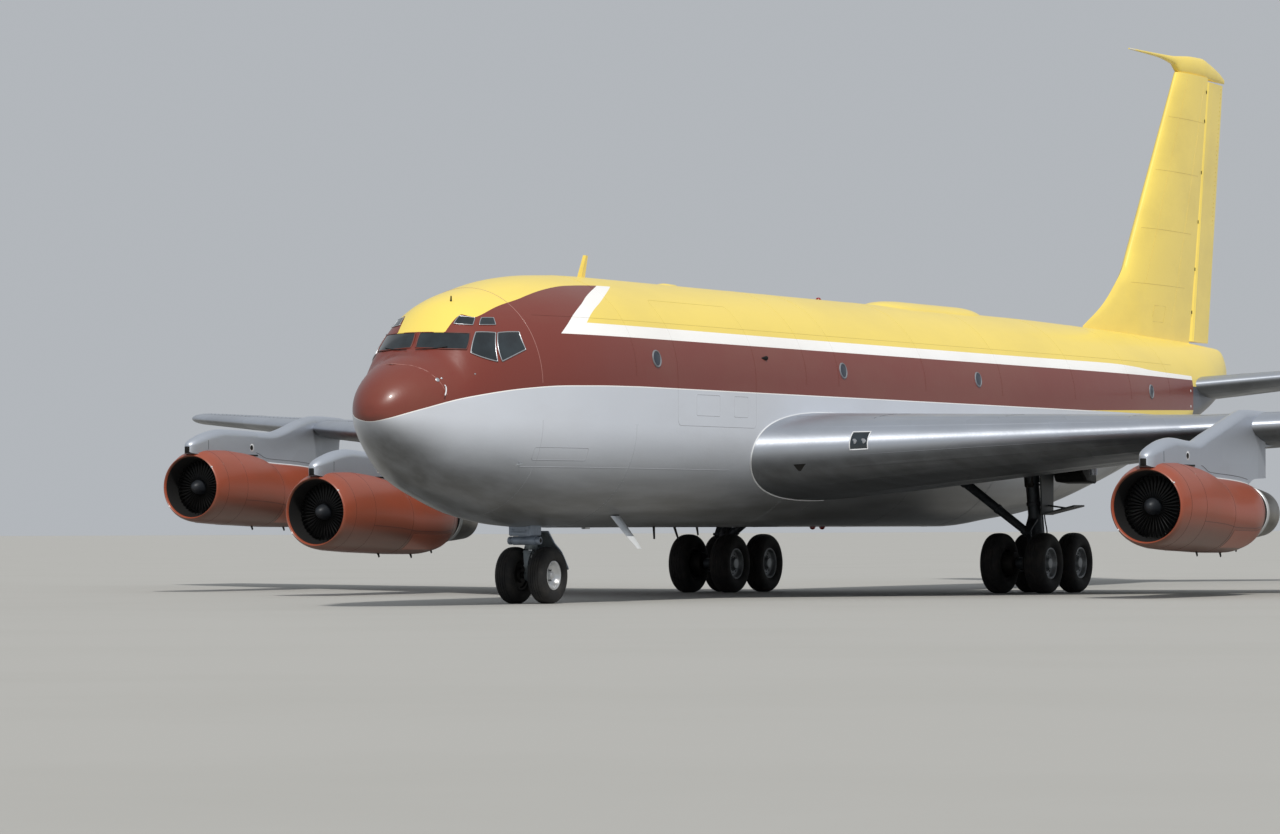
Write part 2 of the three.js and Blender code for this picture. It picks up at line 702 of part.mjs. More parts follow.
for (const engine of ENGINES) {
  const { name, x, station, height } = engine;
  const outer = solid(loft(POD.map((row) => podRing(row, engine))));
  const ductEnd = CORE_OFFSET + ROTOR_BLADE.edgeInset;
  const duct = turnedAboutY(
    [[DUCT[0][0], 0], ...DUCT, [ductEnd, DUCT[DUCT.length - 1][1]], [ductEnd, 0]], [x, station, height]);
  const core = solid(loft(CORE.map((row) => coreRing(row, engine))));
  const coreCut = solid(loft([[CORE_OFFSET - SWING_CLEARANCE, CORE[0][1]], ...CORE].map(
    (row) => coreRing(row, engine, SPLIT))));
  const drop = CORE_DROP_PER_LENGTH * (CORE_END - CORE_OFFSET);
  const nozzle = bar(
    [x, station + CORE_END - NOZZLE_DEPTH, height - drop], [x, station + CORE_END + OVERCUT, height - drop],
    NOZZLE_RADIUS, NOZZLE_RADIUS, POD_SEGMENTS);
  const boreRadius = ROTOR_SHAFT_RADIUS + SHAFT_RUNNING_GAP;
  const shaftBore = bar(
    [x, station + CORE_OFFSET - OVERCUT, height], [x, station + CORE_OFFSET + ROTOR_SHAFT_BORE_DEPTH, height],
    boreRadius, boreRadius, POD_SEGMENTS);
  solids[`${name}_cowl`] = outer.subtract(duct).subtract(coreCut);
  solids[`${name}_core`] = core.subtract(nozzle).subtract(shaftBore);
  solids[`${name}_rotor`] = rotor(engine);
  solids[`${name}_pylon`] = pylon(engine, x > 0 ? wingCut : mirrored(wingCut), grown(outer));
}

// Wheels: a tyre is a faceted ring with a flat at the bottom; two hubs share one axle

const tyreProfile = (radius, rim, width) => [
  [rim, -0.36 * width], [0.87 * radius, -0.5 * width], [radius, -0.33 * width],
  [radius, 0.33 * width], [0.87 * radius, 0.5 * width], [rim, 0.36 * width], [rim, -0.36 * width],
];

// Half of the hub pair's outline, from the middle of the axle out to its end: (radius, x).
function hubProfile(axleRadius, halfSpacing, rim, width) {
  const inner = halfSpacing - 0.36 * width;
  const outer = halfSpacing + 0.36 * width;
  return [
    [axleRadius, inner], [rim, inner], [rim, outer], [0.86 * rim, outer],
    [0.8 * rim, outer - 0.3 * width], [0.4 * rim, outer - 0.25 * width], [0, outer - 20],
  ];
}

function axleAndHubs(axleRadius, halfSpacing, rim, width, centre) {
  const half = hubProfile(axleRadius, halfSpacing, rim, width);
  const other = half.map(([radius, x]) => [radius, -x]).reverse();
  return turnedAboutX([...other, ...half], centre);
}

const flatFactor = Math.cos(Math.PI / WHEEL_SEGMENTS);
const AXLE_BORE_CLEARANCE = 1.8;
const RIM_GAP = 0.5;

const NOSE_WHEEL = { radius: NOSE_TYRE_RADIUS, rim: 240, width: NOSE_TYRE_WIDTH, axle: 55 };
const noseAxleHeight = NOSE_WHEEL.radius * flatFactor;
const noseCentre = [0, NOSE_AXLE_STATION, noseAxleHeight];
solids.nose_hubs = axleAndHubs(
  NOSE_WHEEL.axle, NOSE_TWIN_HALF_SPACING, NOSE_WHEEL.rim, NOSE_WHEEL.width, noseCentre);
for (const [side, sign] of [["left", 1], ["right", -1]]) {
  solids[`nose_tyre_${side}`] = turnedAboutX(
    tyreProfile(NOSE_WHEEL.radius, NOSE_WHEEL.rim + RIM_GAP, NOSE_WHEEL.width),
    [sign * NOSE_TWIN_HALF_SPACING, NOSE_AXLE_STATION, noseAxleHeight]);
}

const MAIN_WHEEL = { radius: MAIN_TYRE_RADIUS, rim: 290, width: MAIN_TYRE_WIDTH, axle: 65 };
const mainAxleHeight = MAIN_WHEEL.radius * flatFactor;
for (const [row, station] of [
  ["front", BOGIE_STATION - BOGIE_HALF_WHEELBASE], ["rear", BOGIE_STATION + BOGIE_HALF_WHEELBASE],
]) {
  port[`${row}_hubs`] = axleAndHubs(
    MAIN_WHEEL.axle, MAIN_TWIN_HALF_SPACING, MAIN_WHEEL.rim, MAIN_WHEEL.width,
    [BOGIE_X, station, mainAxleHeight]);
  for (const [place, sign] of [["inner", -1], ["outer", 1]]) {
    port[`${row}_${place}_tyre`] = turnedAboutX(
      tyreProfile(MAIN_WHEEL.radius, MAIN_WHEEL.rim + RIM_GAP, MAIN_WHEEL.width),
      [BOGIE_X + sign * MAIN_TWIN_HALF_SPACING, station, mainAxleHeight]);
  }
}

// Nose gear: the leg is fixed in its well, the lower leg inside it steers with the axle

const LEG_SEGMENTS = 16;
const NOSE_LEG = { radius: 105, collar: 880, pistonRadius: 62, pistonTop: 1140, runningGap: 0.7 };
const PISTON_FACETS = 32;
const HOUSING = { halfWidth: 200, fore: 400, low: 1105, high: 1300 };
const HOUSING_BRACKET = { halfWidth: 110, fore: 240, low: 990, high: 1150 };
const STEERING_JACK = { halfLength: 300, radius: 72, fore: 210, height: 1030 };
const DRAG_STRUT = { radius: 50, foot: 1350, inset: 60 };
const AXLE_BLOCK = { halfWidth: 95, below: 85, above: 95, pistonBelow: 80 };
const axleBoreOf = (wheel, [x, station, height], reach) => bar(
  [x - reach, station, height], [x + reach, station, height],
  wheel.axle + AXLE_BORE_CLEARANCE, wheel.axle + AXLE_BORE_CLEARANCE, WHEEL_SEGMENTS);
const pistonBoreRadius = NOSE_LEG.pistonRadius + NOSE_LEG.runningGap;
const pistonBore = bar(
  [0, NOSE_AXLE_STATION, NOSE_LEG.collar - OVERCUT],
  [0, NOSE_AXLE_STATION, NOSE_LEG.pistonTop + SWING_CLEARANCE],
  pistonBoreRadius, pistonBoreRadius, PISTON_FACETS);
solids.nose_leg = bar(
  [0, NOSE_AXLE_STATION, NOSE_LEG.collar], [0, NOSE_AXLE_STATION, NOSE_WELL.roof - GAP],
  NOSE_LEG.radius, NOSE_LEG.radius, LEG_SEGMENTS)
  .add(block(
    [-HOUSING.halfWidth, HOUSING.halfWidth], [NOSE_AXLE_STATION - HOUSING.fore, NOSE_AXLE_STATION],
    [HOUSING.low, HOUSING.high]))
  .add(bar(
    [-STEERING_JACK.halfLength, NOSE_AXLE_STATION - STEERING_JACK.fore, STEERING_JACK.height],
    [STEERING_JACK.halfLength, NOSE_AXLE_STATION - STEERING_JACK.fore, STEERING_JACK.height],
    STEERING_JACK.radius, STEERING_JACK.radius, 10))
  .add(block(
    [-HOUSING_BRACKET.halfWidth, HOUSING_BRACKET.halfWidth],
    [NOSE_AXLE_STATION - HOUSING_BRACKET.fore, NOSE_AXLE_STATION],
    [HOUSING_BRACKET.low, HOUSING_BRACKET.high]))
  .add(bar(
    [0, NOSE_AXLE_STATION, DRAG_STRUT.foot],
    [0, NOSE_WELL.back - DRAG_STRUT.inset, NOSE_WELL.roof - DRAG_STRUT.inset],
    DRAG_STRUT.radius, DRAG_STRUT.radius))
  .subtract(pistonBore);
solids.nose_steering = bar(
  [0, NOSE_AXLE_STATION, noseAxleHeight - AXLE_BLOCK.pistonBelow], [0, NOSE_AXLE_STATION, NOSE_LEG.pistonTop],
  NOSE_LEG.pistonRadius, NOSE_LEG.pistonRadius, PISTON_FACETS)
  .add(block(
    [-AXLE_BLOCK.halfWidth, AXLE_BLOCK.halfWidth],
    [NOSE_AXLE_STATION - AXLE_BLOCK.halfWidth, NOSE_AXLE_STATION + AXLE_BLOCK.halfWidth],
    [noseAxleHeight - AXLE_BLOCK.below, noseAxleHeight + AXLE_BLOCK.above]))
  .subtract(axleBoreOf(NOSE_WHEEL, noseCentre, 4 * AXLE_BLOCK.halfWidth));

// Spray deflector behind the nose tyres, on an arm between them; it steers with the lower leg.
const DEFLECTOR = table(
  ["station", "height", "halfWidth"],
  [5235, 1175, 215], [5345, 980, 270], [5440, 830, 350], [5600, 560, 385],
);
const DEFLECTOR_THICKNESS = 22;
const DEFLECTOR_RISE = 8; // the plate's rear face is this much higher than its front face
const DEFLECTOR_ARM = { halfWidth: 60, back: 5460, low: 760, high: 850 };
solids.nose_deflector = solid(loft(DEFLECTOR.map(({ station, height, halfWidth }) => [
  [-halfWidth, along(station), height], [halfWidth, along(station), height],
  [halfWidth, along(station + DEFLECTOR_THICKNESS), height + DEFLECTOR_RISE],
  [-halfWidth, along(station + DEFLECTOR_THICKNESS), height + DEFLECTOR_RISE],
]))).add(block(
  [-DEFLECTOR_ARM.halfWidth, DEFLECTOR_ARM.halfWidth], [NOSE_AXLE_STATION, DEFLECTOR_ARM.back],
  [DEFLECTOR_ARM.low, DEFLECTOR_ARM.high]))
  .subtract(block(
    [-DEFLECTOR_ARM.halfWidth - OVERCUT, DEFLECTOR_ARM.halfWidth + OVERCUT],
    [NOSE_AXLE_STATION - OVERCUT, NOSE_AXLE_STATION + 0.6 * NOSE_LEG.pistonRadius],
    [DEFLECTOR_ARM.low - OVERCUT, DEFLECTOR_ARM.high + OVERCUT]))
  .subtract(bar(
    [0, NOSE_AXLE_STATION, DEFLECTOR_ARM.low - OVERCUT], [0, NOSE_AXLE_STATION, DEFLECTOR_ARM.high + OVERCUT],
    NOSE_LEG.pistonRadius + SPLIT, NOSE_LEG.pistonRadius + SPLIT, PISTON_FACETS));

// Main gear, port side

const BEAM = { halfWidth: 85, halfHeight: 105, beyondAxle: 110 };
const MAIN_LEG = { radius: 125, top: 2600, footRadius: 95, footTop: 1150, bodyFoot: 1050, lean: 90 };
const BRACE = {
  wellEnd: [1650, BOGIE_STATION - 80, 2180], legEnd: [BOGIE_X - 60, BOGIE_STATION - 40, 1040],
  wellRadius: 85, legRadius: 75,
};
const beam = block(
  [BOGIE_X - BEAM.halfWidth, BOGIE_X + BEAM.halfWidth],
  [BOGIE_STATION - BOGIE_HALF_WHEELBASE - BEAM.beyondAxle, BOGIE_STATION + BOGIE_HALF_WHEELBASE + BEAM.beyondAxle],
  [mainAxleHeight - BEAM.halfHeight, mainAxleHeight + BEAM.halfHeight]);
port.bogie = [-1, 1].reduce((piece, sign) => piece.subtract(axleBoreOf(
  MAIN_WHEEL, [BOGIE_X, BOGIE_STATION + sign * BOGIE_HALF_WHEELBASE, mainAxleHeight],
  4 * BEAM.halfWidth)), beam);
port.leg = bar(
  [BOGIE_X, BOGIE_STATION, mainAxleHeight + BEAM.halfHeight + GAP], [BOGIE_X, BOGIE_STATION, MAIN_LEG.footTop],
  MAIN_LEG.footRadius, MAIN_LEG.footRadius, LEG_SEGMENTS)
  .add(bar(
    [BOGIE_X, BOGIE_STATION, MAIN_LEG.bodyFoot],
    [BOGIE_X - MAIN_LEG.lean, BOGIE_STATION - MAIN_LEG.lean, MAIN_LEG.top],
    MAIN_LEG.radius, MAIN_LEG.radius, LEG_SEGMENTS))
  .subtract(wingCut).subtract(fuselageCut);
port.brace = bar(BRACE.wellEnd, BRACE.legEnd, BRACE.wellRadius, BRACE.legRadius, 10)
  .subtract(wingCut).subtract(fuselageCut).subtract(grown(port.leg));
// Leg door: a plate outboard of the leg with a flap that stands out from its lower edge.
const LEG_DOOR = {
  x: BOGIE_X + 215, thickness: 30, low: 1440, high: 2700, halfLength: 260, topFore: 340, topAft: 300,
  flapReach: 640, flapRise: 150, flapHalfLength: 250,
};
port.leg_door = sidePlate([
  [BOGIE_STATION - LEG_DOOR.halfLength, LEG_DOOR.low], [BOGIE_STATION + LEG_DOOR.halfLength, LEG_DOOR.low],
  [BOGIE_STATION + LEG_DOOR.topAft, LEG_DOOR.high], [BOGIE_STATION - LEG_DOOR.topFore, LEG_DOOR.high],
], LEG_DOOR.thickness, LEG_DOOR.x)
  .add(solid(loft([-LEG_DOOR.flapHalfLength, LEG_DOOR.flapHalfLength].map((offset) => [
    [LEG_DOOR.x, along(BOGIE_STATION + offset), LEG_DOOR.low],
    [LEG_DOOR.x + LEG_DOOR.flapReach, along(BOGIE_STATION + offset), LEG_DOOR.low + LEG_DOOR.flapRise],
    [LEG_DOOR.x + LEG_DOOR.flapReach, along(BOGIE_STATION + offset),
      LEG_DOOR.low + LEG_DOOR.flapRise + LEG_DOOR.thickness],
    [LEG_DOOR.x, along(BOGIE_STATION + offset), LEG_DOOR.low + LEG_DOOR.thickness],
  ]))))
  .subtract(wingCut);

for (const [key, piece] of Object.entries(port)) {
  solids[`${key}_left`] = piece;
  solids[`${key}_right`] = mirrored(piece);
}

// Finishes: colour, roughness, metalness

const FINISHES = {
  fuselage: [0xc3c4cc, 0.45, 0.1],
  cockpit_windows: [0x14181c, 0.08, 0.0],
  blade_antenna: [0xf0dc73, 0.4, 0.0],
  fin: [0xf0dc73, 0.4, 0.0],
  rudder: [0xf0dc73, 0.4, 0.0],
  cowl: [0x8c4334, 0.4, 0.1],
  core: [0x8f8f90, 0.35, 0.9],
  rotor: [0x3a3b3d, 0.4, 0.8],
  tyre: [0x17181a, 0.85, 0.0],
  hubs: [0xb5b7b8, 0.4, 0.7],
  gear: [0x5f6265, 0.5, 0.5],
  skin: [0x9c9fa3, 0.35, 0.85],
};

function finishOf(name) {
  const gearPart = /nose_leg|nose_steering|deflector|door|bogie|brace|^leg/;
  const key = Object.keys(FINISHES).find((word) => name.includes(word)) ?? (gearPart.test(name) ? "gear" : "skin");
  return FINISHES[key];
}

const airliner = new THREE.Group();
for (const [name, piece] of Object.entries(solids)) {
  const [color, roughness, metalness] = finishOf(name);
  const mesh = new THREE.Mesh(geometryOf(piece), new THREE.MeshStandardMaterial({ color, roughness, metalness }));
  mesh.name = name;
  airliner.add(mesh);
}

export default airliner;
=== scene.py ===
"""A four-engined jet airliner on its wheels: its paint, its bare metal and its fine shapes.

Metres, +X port, +Y aft, +Z up; stations are measured aft of the nose tip.
"""
import math

import bmesh
import bpy
from mathutils import Matrix, Vector


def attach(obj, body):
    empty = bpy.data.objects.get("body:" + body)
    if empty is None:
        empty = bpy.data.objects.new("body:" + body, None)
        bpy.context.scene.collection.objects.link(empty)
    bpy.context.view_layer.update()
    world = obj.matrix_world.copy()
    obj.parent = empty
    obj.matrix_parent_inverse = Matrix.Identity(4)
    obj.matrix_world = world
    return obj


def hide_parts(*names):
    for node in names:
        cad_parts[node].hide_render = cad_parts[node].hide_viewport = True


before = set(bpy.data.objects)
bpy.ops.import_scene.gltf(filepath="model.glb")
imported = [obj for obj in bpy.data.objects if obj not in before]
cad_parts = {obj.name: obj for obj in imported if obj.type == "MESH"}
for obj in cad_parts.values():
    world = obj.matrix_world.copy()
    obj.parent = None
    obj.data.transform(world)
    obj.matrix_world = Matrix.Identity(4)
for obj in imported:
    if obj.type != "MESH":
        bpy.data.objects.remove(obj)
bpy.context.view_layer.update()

HALF_LENGTH = 19.48
GAUGE = 0.0012  # thickness of the aluminium skin over what carries it


def along(station):
    return station - HALF_LENGTH


# Camera, matched to the photograph's viewing angle

CAMERA_PLACE = (37.486, -80.898, 1.189)
CAMERA_YAW = 28.08
CAMERA_PITCH = 1.39
CAMERA_ROLL = -0.25
CAMERA_LENS = 131.35
SENSOR_WIDTH = 36.0


def place_camera():
    camera = bpy.data.cameras.new("camera")
    camera.lens = CAMERA_LENS
    camera.sensor_width = SENSOR_WIDTH
    camera.clip_end = 4000
    holder = bpy.data.objects.new("camera", camera)
    bpy.context.scene.collection.objects.link(holder)
    turn = (Matrix.Rotation(math.radians(CAMERA_YAW), 4, "Z")
            @ Matrix.Rotation(math.radians(90 + CAMERA_PITCH), 4, "X")
            @ Matrix.Rotation(math.radians(CAMERA_ROLL), 4, "Z"))
    holder.matrix_world = Matrix.Translation(CAMERA_PLACE) @ turn
    bpy.context.scene.camera = holder


# Node trees

def add(tree, kind, inputs=None, **settings):
    """Adds a node, sets its properties, and fills its inputs with values or links."""
    node = tree.nodes.new(kind)
    for key, value in settings.items():
        setattr(node, key, value)
    for key, value in (inputs or {}).items():
        if isinstance(value, bpy.types.NodeSocket):
            tree.links.new(value, node.inputs[key])
        else:
            node.inputs[key].default_value = value
    return node


def rgb(code):
    """An sRGB hex colour as linear RGBA."""
    channels = [int(code[i:i + 2], 16) / 255 for i in (1, 3, 5)]
    return tuple(c / 12.92 if c <= 0.04045 else ((c + 0.055) / 1.055) ** 2.4 for c in channels) + (1.0,)


def new_material(name, **sockets):
    """A material with its Principled shader's own sockets set; returns it, its tree and the shader."""
    material = bpy.data.materials.new(name)
    material.use_nodes = True
    tree = material.node_tree
    shader = tree.nodes["Principled BSDF"]
    for key, value in sockets.items():
        shader.inputs[key.replace("_", " ")].default_value = value
    return material, tree, shader


def object_coordinates(tree, scale=(1, 1, 1)):
    position = add(tree, "ShaderNodeTexCoord").outputs["Object"]
    return add(tree, "ShaderNodeMapping", {"Vector": position, "Scale": scale}).outputs["Vector"]


def grime(tree, colour, dirt, amount, size, stretch=(1, 1, 1), low=0.45, high=0.8):
    """Mixes a dirt colour into a colour through soft noise patches of a size in metres."""
    noise = add(tree, "ShaderNodeTexNoise", {
        "Vector": object_coordinates(tree, stretch), "Scale": 1 / size, "Detail": 6.0,
        "Roughness": 0.6})
    mask = add(tree, "ShaderNodeMapRange", {
        "Value": noise.outputs["Fac"], "From Min": low, "From Max": high, "To Max": amount})
    return add(tree, "ShaderNodeMix", {
        "Factor": mask.outputs["Result"], "A": colour, "B": dirt}, data_type="RGBA").outputs["Result"]


def fine_grain(tree, shader, scale, detail, distance, strength):
    """A grain on a surface; real ones are under a millimetre, so each is drawn as coarse as shows."""
    grain = add(tree, "ShaderNodeTexNoise", {
        "Vector": object_coordinates(tree), "Scale": scale, "Detail": detail}).outputs["Fac"]
    relief = add(tree, "ShaderNodeBump", {"Height": grain, "Distance": distance, "Strength": strength})
    tree.links.new(relief.outputs["Normal"], shader.inputs["Normal"])
    return relief


def skin_bump(tree, shader, wave=0.9):
    """Thin sheet over frames: soft pillows between the frames, and a grain of 45 mm on them."""
    pillows = add(tree, "ShaderNodeTexNoise", {
        "Vector": object_coordinates(tree), "Scale": 1 / wave, "Detail": 2.0}).outputs["Fac"]
    soft = add(tree, "ShaderNodeBump", {"Height": pillows, "Distance": 0.016, "Strength": 0.35})
    grain = fine_grain(tree, shader, 22.0, 3.0, 0.003, 0.3)
    tree.links.new(soft.outputs["Normal"], grain.inputs["Normal"])


# Colours

YELLOW = rgb("#F3D968")
BROWN = rgb("#76342A")
WHITE = rgb("#FCFBF9")
LOWER_GREY = rgb("#CED3DC")
# colours for the faces that look down: painted underside shade with road grime, and with oil
ROAD_FILM_AND_SHADE = rgb("#33322D")
OIL_AND_SHADE = rgb("#4A3F33")

# Livery edges, from the forward end: (station, height) or (station, half width)

BROWN_LOWER_EDGE = (
    (0.0, 2.86), (0.09, 2.925), (0.7, 3.125), (1.52, 3.305), (2.91, 3.465), (4.24, 3.515), (5.7, 3.535))
BROWN_RISE_FROM = 24.7
BROWN_RISE_TO = 31.84
BROWN_RISE = 0.16
CAP_HALF_WIDTH = (
    (1.2, 0.38), (1.5, 0.42), (1.91, 0.5), (1.98, 0.6), (2.11, 0.71), (2.75, 0.76), (3.41, 0.8),
    (4.21, 0.78), (5.01, 0.76), (6.2, 0.77))
PINSTRIPE = 0.016
# height, station: the slanting edges where the nose colours end
BROWN_END = (
    (4.3, 3.58), (4.487, 3.908), (4.672, 4.251), (4.848, 4.67), (5.021, 5.154), (5.201, 5.862),
    (5.41, 6.85))
YELLOW_START = (
    (4.3, 4.0), (4.527, 4.439), (4.713, 4.796), (4.909, 5.332), (5.062, 5.799), (5.202, 6.31),
    (5.41, 7.25))
CAP_FROM = 1.49
CAP_LOW = 4.2
STRIPE_LOW = 4.335
STRIPE_TOP = (
    (0.0, 4.565), (6.0, 4.53), (20.0, 4.52), (24.0, 4.525), (26.3, 4.53), (27.9, 4.5), (29.0, 4.455),
    (31.84, 4.42))
TAIL_YELLOW_FROM = 31.84
TAIL_PLATE = rgb("#4A505C")
TAIL_PLATE_TO = 35.9
TAIL_PLATE_TOP = 4.2
YELLOW_LOWER_EDGE = 3.535
OVER = "GREATER_THAN"
UNDER = "LESS_THAN"

# Paint from the bottom coat to the top one: colour and where it lies, as (quantity, test, value).
COATS = (
    (WHITE, (("over_brown_edge", OVER, -PINSTRIPE),)),
    (BROWN, (("over_brown_edge", OVER, 0.0),)),
    (YELLOW, (("over_brown_edge", UNDER, 0.0), ("station", OVER, BROWN_RISE_FROM),
              ("height", OVER, YELLOW_LOWER_EDGE))),
    (WHITE, (("aft_of_chevron", OVER, 0.0), ("height", OVER, STRIPE_LOW))),
    (YELLOW, (("aft_of_white", OVER, 0.0), ("over_stripe", OVER, 0.0))),
    (YELLOW, (("inside_cap", OVER, 0.0), ("station", OVER, CAP_FROM), ("height", OVER, CAP_LOW))),
    (YELLOW, (("station", OVER, TAIL_YELLOW_FROM), ("height", OVER, YELLOW_LOWER_EDGE))),
    (TAIL_PLATE, (("station", OVER, TAIL_YELLOW_FROM), ("station", UNDER, TAIL_PLATE_TO),
                  ("height", UNDER, TAIL_PLATE_TOP))),
)


def profile_curve(tree, value, points, low, high):
    """A smooth function of a socket through (value, result) points, all between low and high."""
    scaled = add(tree, "ShaderNodeMapRange", {
        "Value": value, "From Min": points[0][0], "From Max": points[-1][0]}).outputs["Result"]
    node = add(tree, "ShaderNodeFloatCurve", {"Value": scaled})
    curve = node.mapping.curves[0]
    span = points[-1][0] - points[0][0]
    while len(curve.points) < len(points):
        curve.points.new(0.5, 0.5)
    for point, (at, result) in zip(curve.points, points):
        point.location = ((at - points[0][0]) / span, (result - low) / (high - low))
        point.handle_type = "AUTO_CLAMPED"
    node.mapping.update()
    return add(tree, "ShaderNodeMapRange", {
        "Value": node.outputs["Value"], "To Min": low, "To Max": high}).outputs["Result"]


def livery_colour(tree):
    """The fuselage paint scheme as a colour socket."""
    position = add(tree, "ShaderNodeTexCoord").outputs["Object"]
    x, y, z = add(tree, "ShaderNodeSeparateXYZ", {"Vector": position}).outputs
    station = add(tree, "ShaderNodeMath", {0: y, 1: HALF_LENGTH}, operation="ADD").outputs[0]
    aside = add(tree, "ShaderNodeMath", {0: x}, operation="ABSOLUTE").outputs[0]
    rise = add(tree, "ShaderNodeMapRange", {
        "Value": station, "From Min": BROWN_RISE_FROM, "From Max": BROWN_RISE_TO,
        "To Max": BROWN_RISE}).outputs["Result"]
    edge = profile_curve(tree, station, BROWN_LOWER_EDGE, 2.5, 4.0)
    edge = add(tree, "ShaderNodeMath", {0: edge, 1: rise}, operation="ADD").outputs[0]
    quantities = {"station": station, "height": z}
    for name, more, less in (
            ("over_brown_edge", z, edge),
            ("inside_cap", profile_curve(tree, station, CAP_HALF_WIDTH, 0.0, 1.0), aside),
            ("over_stripe", z, profile_curve(tree, station, STRIPE_TOP, 4.0, 5.0)),
            ("aft_of_chevron", station, profile_curve(tree, z, BROWN_END, 3.0, 8.0)),
            ("aft_of_white", station, profile_curve(tree, z, YELLOW_START, 3.0, 8.0))):
        over = add(tree, "ShaderNodeMath", {0: more, 1: less}, operation="SUBTRACT")
        quantities[name] = over.outputs[0]
    colour = LOWER_GREY
    for paint, tests in COATS:
        mask = 1.0
        for quantity, test, value in tests:
            hit = add(tree, "ShaderNodeMath", {0: quantities[quantity], 1: value}, operation=test)
            both = add(tree, "ShaderNodeMath", {0: mask, 1: hit.outputs[0]}, operation="MULTIPLY")
            mask = both.outputs[0]
        colour = add(tree, "ShaderNodeMix", {"Factor": mask, "A": colour, "B": paint},
                     data_type="RGBA").outputs["Result"]
    return colour


SHADE_AND_FILM_FULL = -0.85  # the normal's Z where the painted underside shade is at its strongest
JOINT_SHADE = 0.28


def underside_shade_and_film(tree, colour, shade_and_film, amount, start=-0.02):
    """Painted shade on the faces that look down, with road grime and oil in it, drawn out into streaks of
    2 m along the airstream.
    """
    normal = add(tree, "ShaderNodeNewGeometry").outputs["Normal"]
    down = add(tree, "ShaderNodeSeparateXYZ", {"Vector": normal}).outputs["Z"]
    low = add(tree, "ShaderNodeMapRange", {
        "Value": down, "From Min": start, "From Max": SHADE_AND_FILM_FULL, "To Max": amount},
        interpolation_type="SMOOTHSTEP").outputs["Result"]
    streaks = add(tree, "ShaderNodeTexNoise", {
        "Vector": object_coordinates(tree, (3.0, 0.35, 3.0)), "Scale": 1.4, "Detail": 8.0})
    uneven = add(tree, "ShaderNodeMapRange", {
        "Value": streaks.outputs["Fac"], "From Min": 0.3, "From Max": 0.6,
        "To Min": 0.88}).outputs["Result"]
    mask = add(tree, "ShaderNodeMath", {0: low, 1: uneven}, operation="MULTIPLY", use_clamp=True)
    return add(tree, "ShaderNodeMix", {"Factor": mask.outputs[0], "A": colour, "B": shade_and_film},
               data_type="RGBA").outputs["Result"]


def gloss_livery():
    """Polyurethane gloss enamel, sprayed on riveted aluminium sheet; soft broad highlights."""
    material, tree, shader = new_material(
        "livery_enamel", Roughness=0.36, IOR=1.45, Coat_Weight=0.14, Coat_Roughness=0.12)
    colour = grime(tree, livery_colour(tree), rgb("#8A7C66"), 0.14, 1.6, (1, 0.4, 1))
    # darker on the faces that look down: painted underside shade with road grime
    colour = underside_shade_and_film(tree, colour, ROAD_FILM_AND_SHADE, 0.92)
    tree.links.new(colour, shader.inputs["Base Color"])
    skin_bump(tree, shader)
    return material


def seam_livery():
    """The same enamel where it dips into a sheet joint; the line reads a shade darker."""
    material, tree, shader = new_material("livery_joint", Roughness=0.5)
    darker = add(tree, "ShaderNodeMix", {
        "Factor": JOINT_SHADE, "A": livery_colour(tree), "B": rgb("#3A2A24")},
        data_type="RGBA").outputs["Result"]
    # darker on the faces that look down: painted underside shade with road grime
    tree.links.new(underside_shade_and_film(tree, darker, ROAD_FILM_AND_SHADE, 0.85), shader.inputs["Base Color"])
    return material


def plain_enamel(name, code, roughness=0.35, dirt="#6B5A44", amount=0.18, coat=0.25, shade_and_film=0.0):
    """Sprayed gloss enamel in one colour, with thin patches of dirt, and oil with painted shade on its
    underside.
    """
    material, tree, shader = new_material(
        name, Roughness=roughness, IOR=1.5, Coat_Weight=coat, Coat_Roughness=0.15)
    colour = grime(tree, rgb(code), rgb(dirt), amount, 1.2, (1, 0.5, 1))
    tree.links.new(underside_shade_and_film(tree, colour, OIL_AND_SHADE, shade_and_film, 0.1), shader.inputs["Base Color"])
    skin_bump(tree, shader)
    return material


def bare_aluminium(name, code="#BCC2CC", roughness=0.4, panel=(0.7, 0.45, 0.7), tint=0.14, shade_and_film=0.8):
    """Clad aluminium sheet, rolled and left unpainted: each sheet a little lighter or darker."""
    material, tree, shader = new_material(name, Metallic=0.85, Roughness=roughness)
    cells = add(tree, "ShaderNodeTexVoronoi", {
        "Vector": object_coordinates(tree, panel), "Scale": 1.0, "Randomness": 0.6},
        feature="F1", distance="CHEBYCHEV")
    grey = add(tree, "ShaderNodeRGBToBW", {"Color": cells.outputs["Color"]}).outputs["Val"]
    mask = add(tree, "ShaderNodeMapRange", {"Value": grey, "To Max": tint}).outputs["Result"]
    colour = add(tree, "ShaderNodeMix", {"Factor": mask, "A": rgb(code), "B": rgb("#5E6164")},
                 data_type="RGBA").outputs["Result"]
    colour = grime(tree, colour, rgb("#6A6358"), 0.22, 1.5, (1, 0.4, 1))
    # darker on the faces that look down: painted underside shade with road grime
    tree.links.new(underside_shade_and_film(tree, colour, rgb("#24241F"), shade_and_film), shader.inputs["Base Color"])
    rough = add(tree, "ShaderNodeMapRange", {
        "Value": grey, "To Min": roughness - 0.04, "To Max": roughness + 0.08}).outputs["Result"]
    tree.links.new(rough, shader.inputs["Roughness"])
    skin_bump(tree, shader, wave=0.6)
    return material


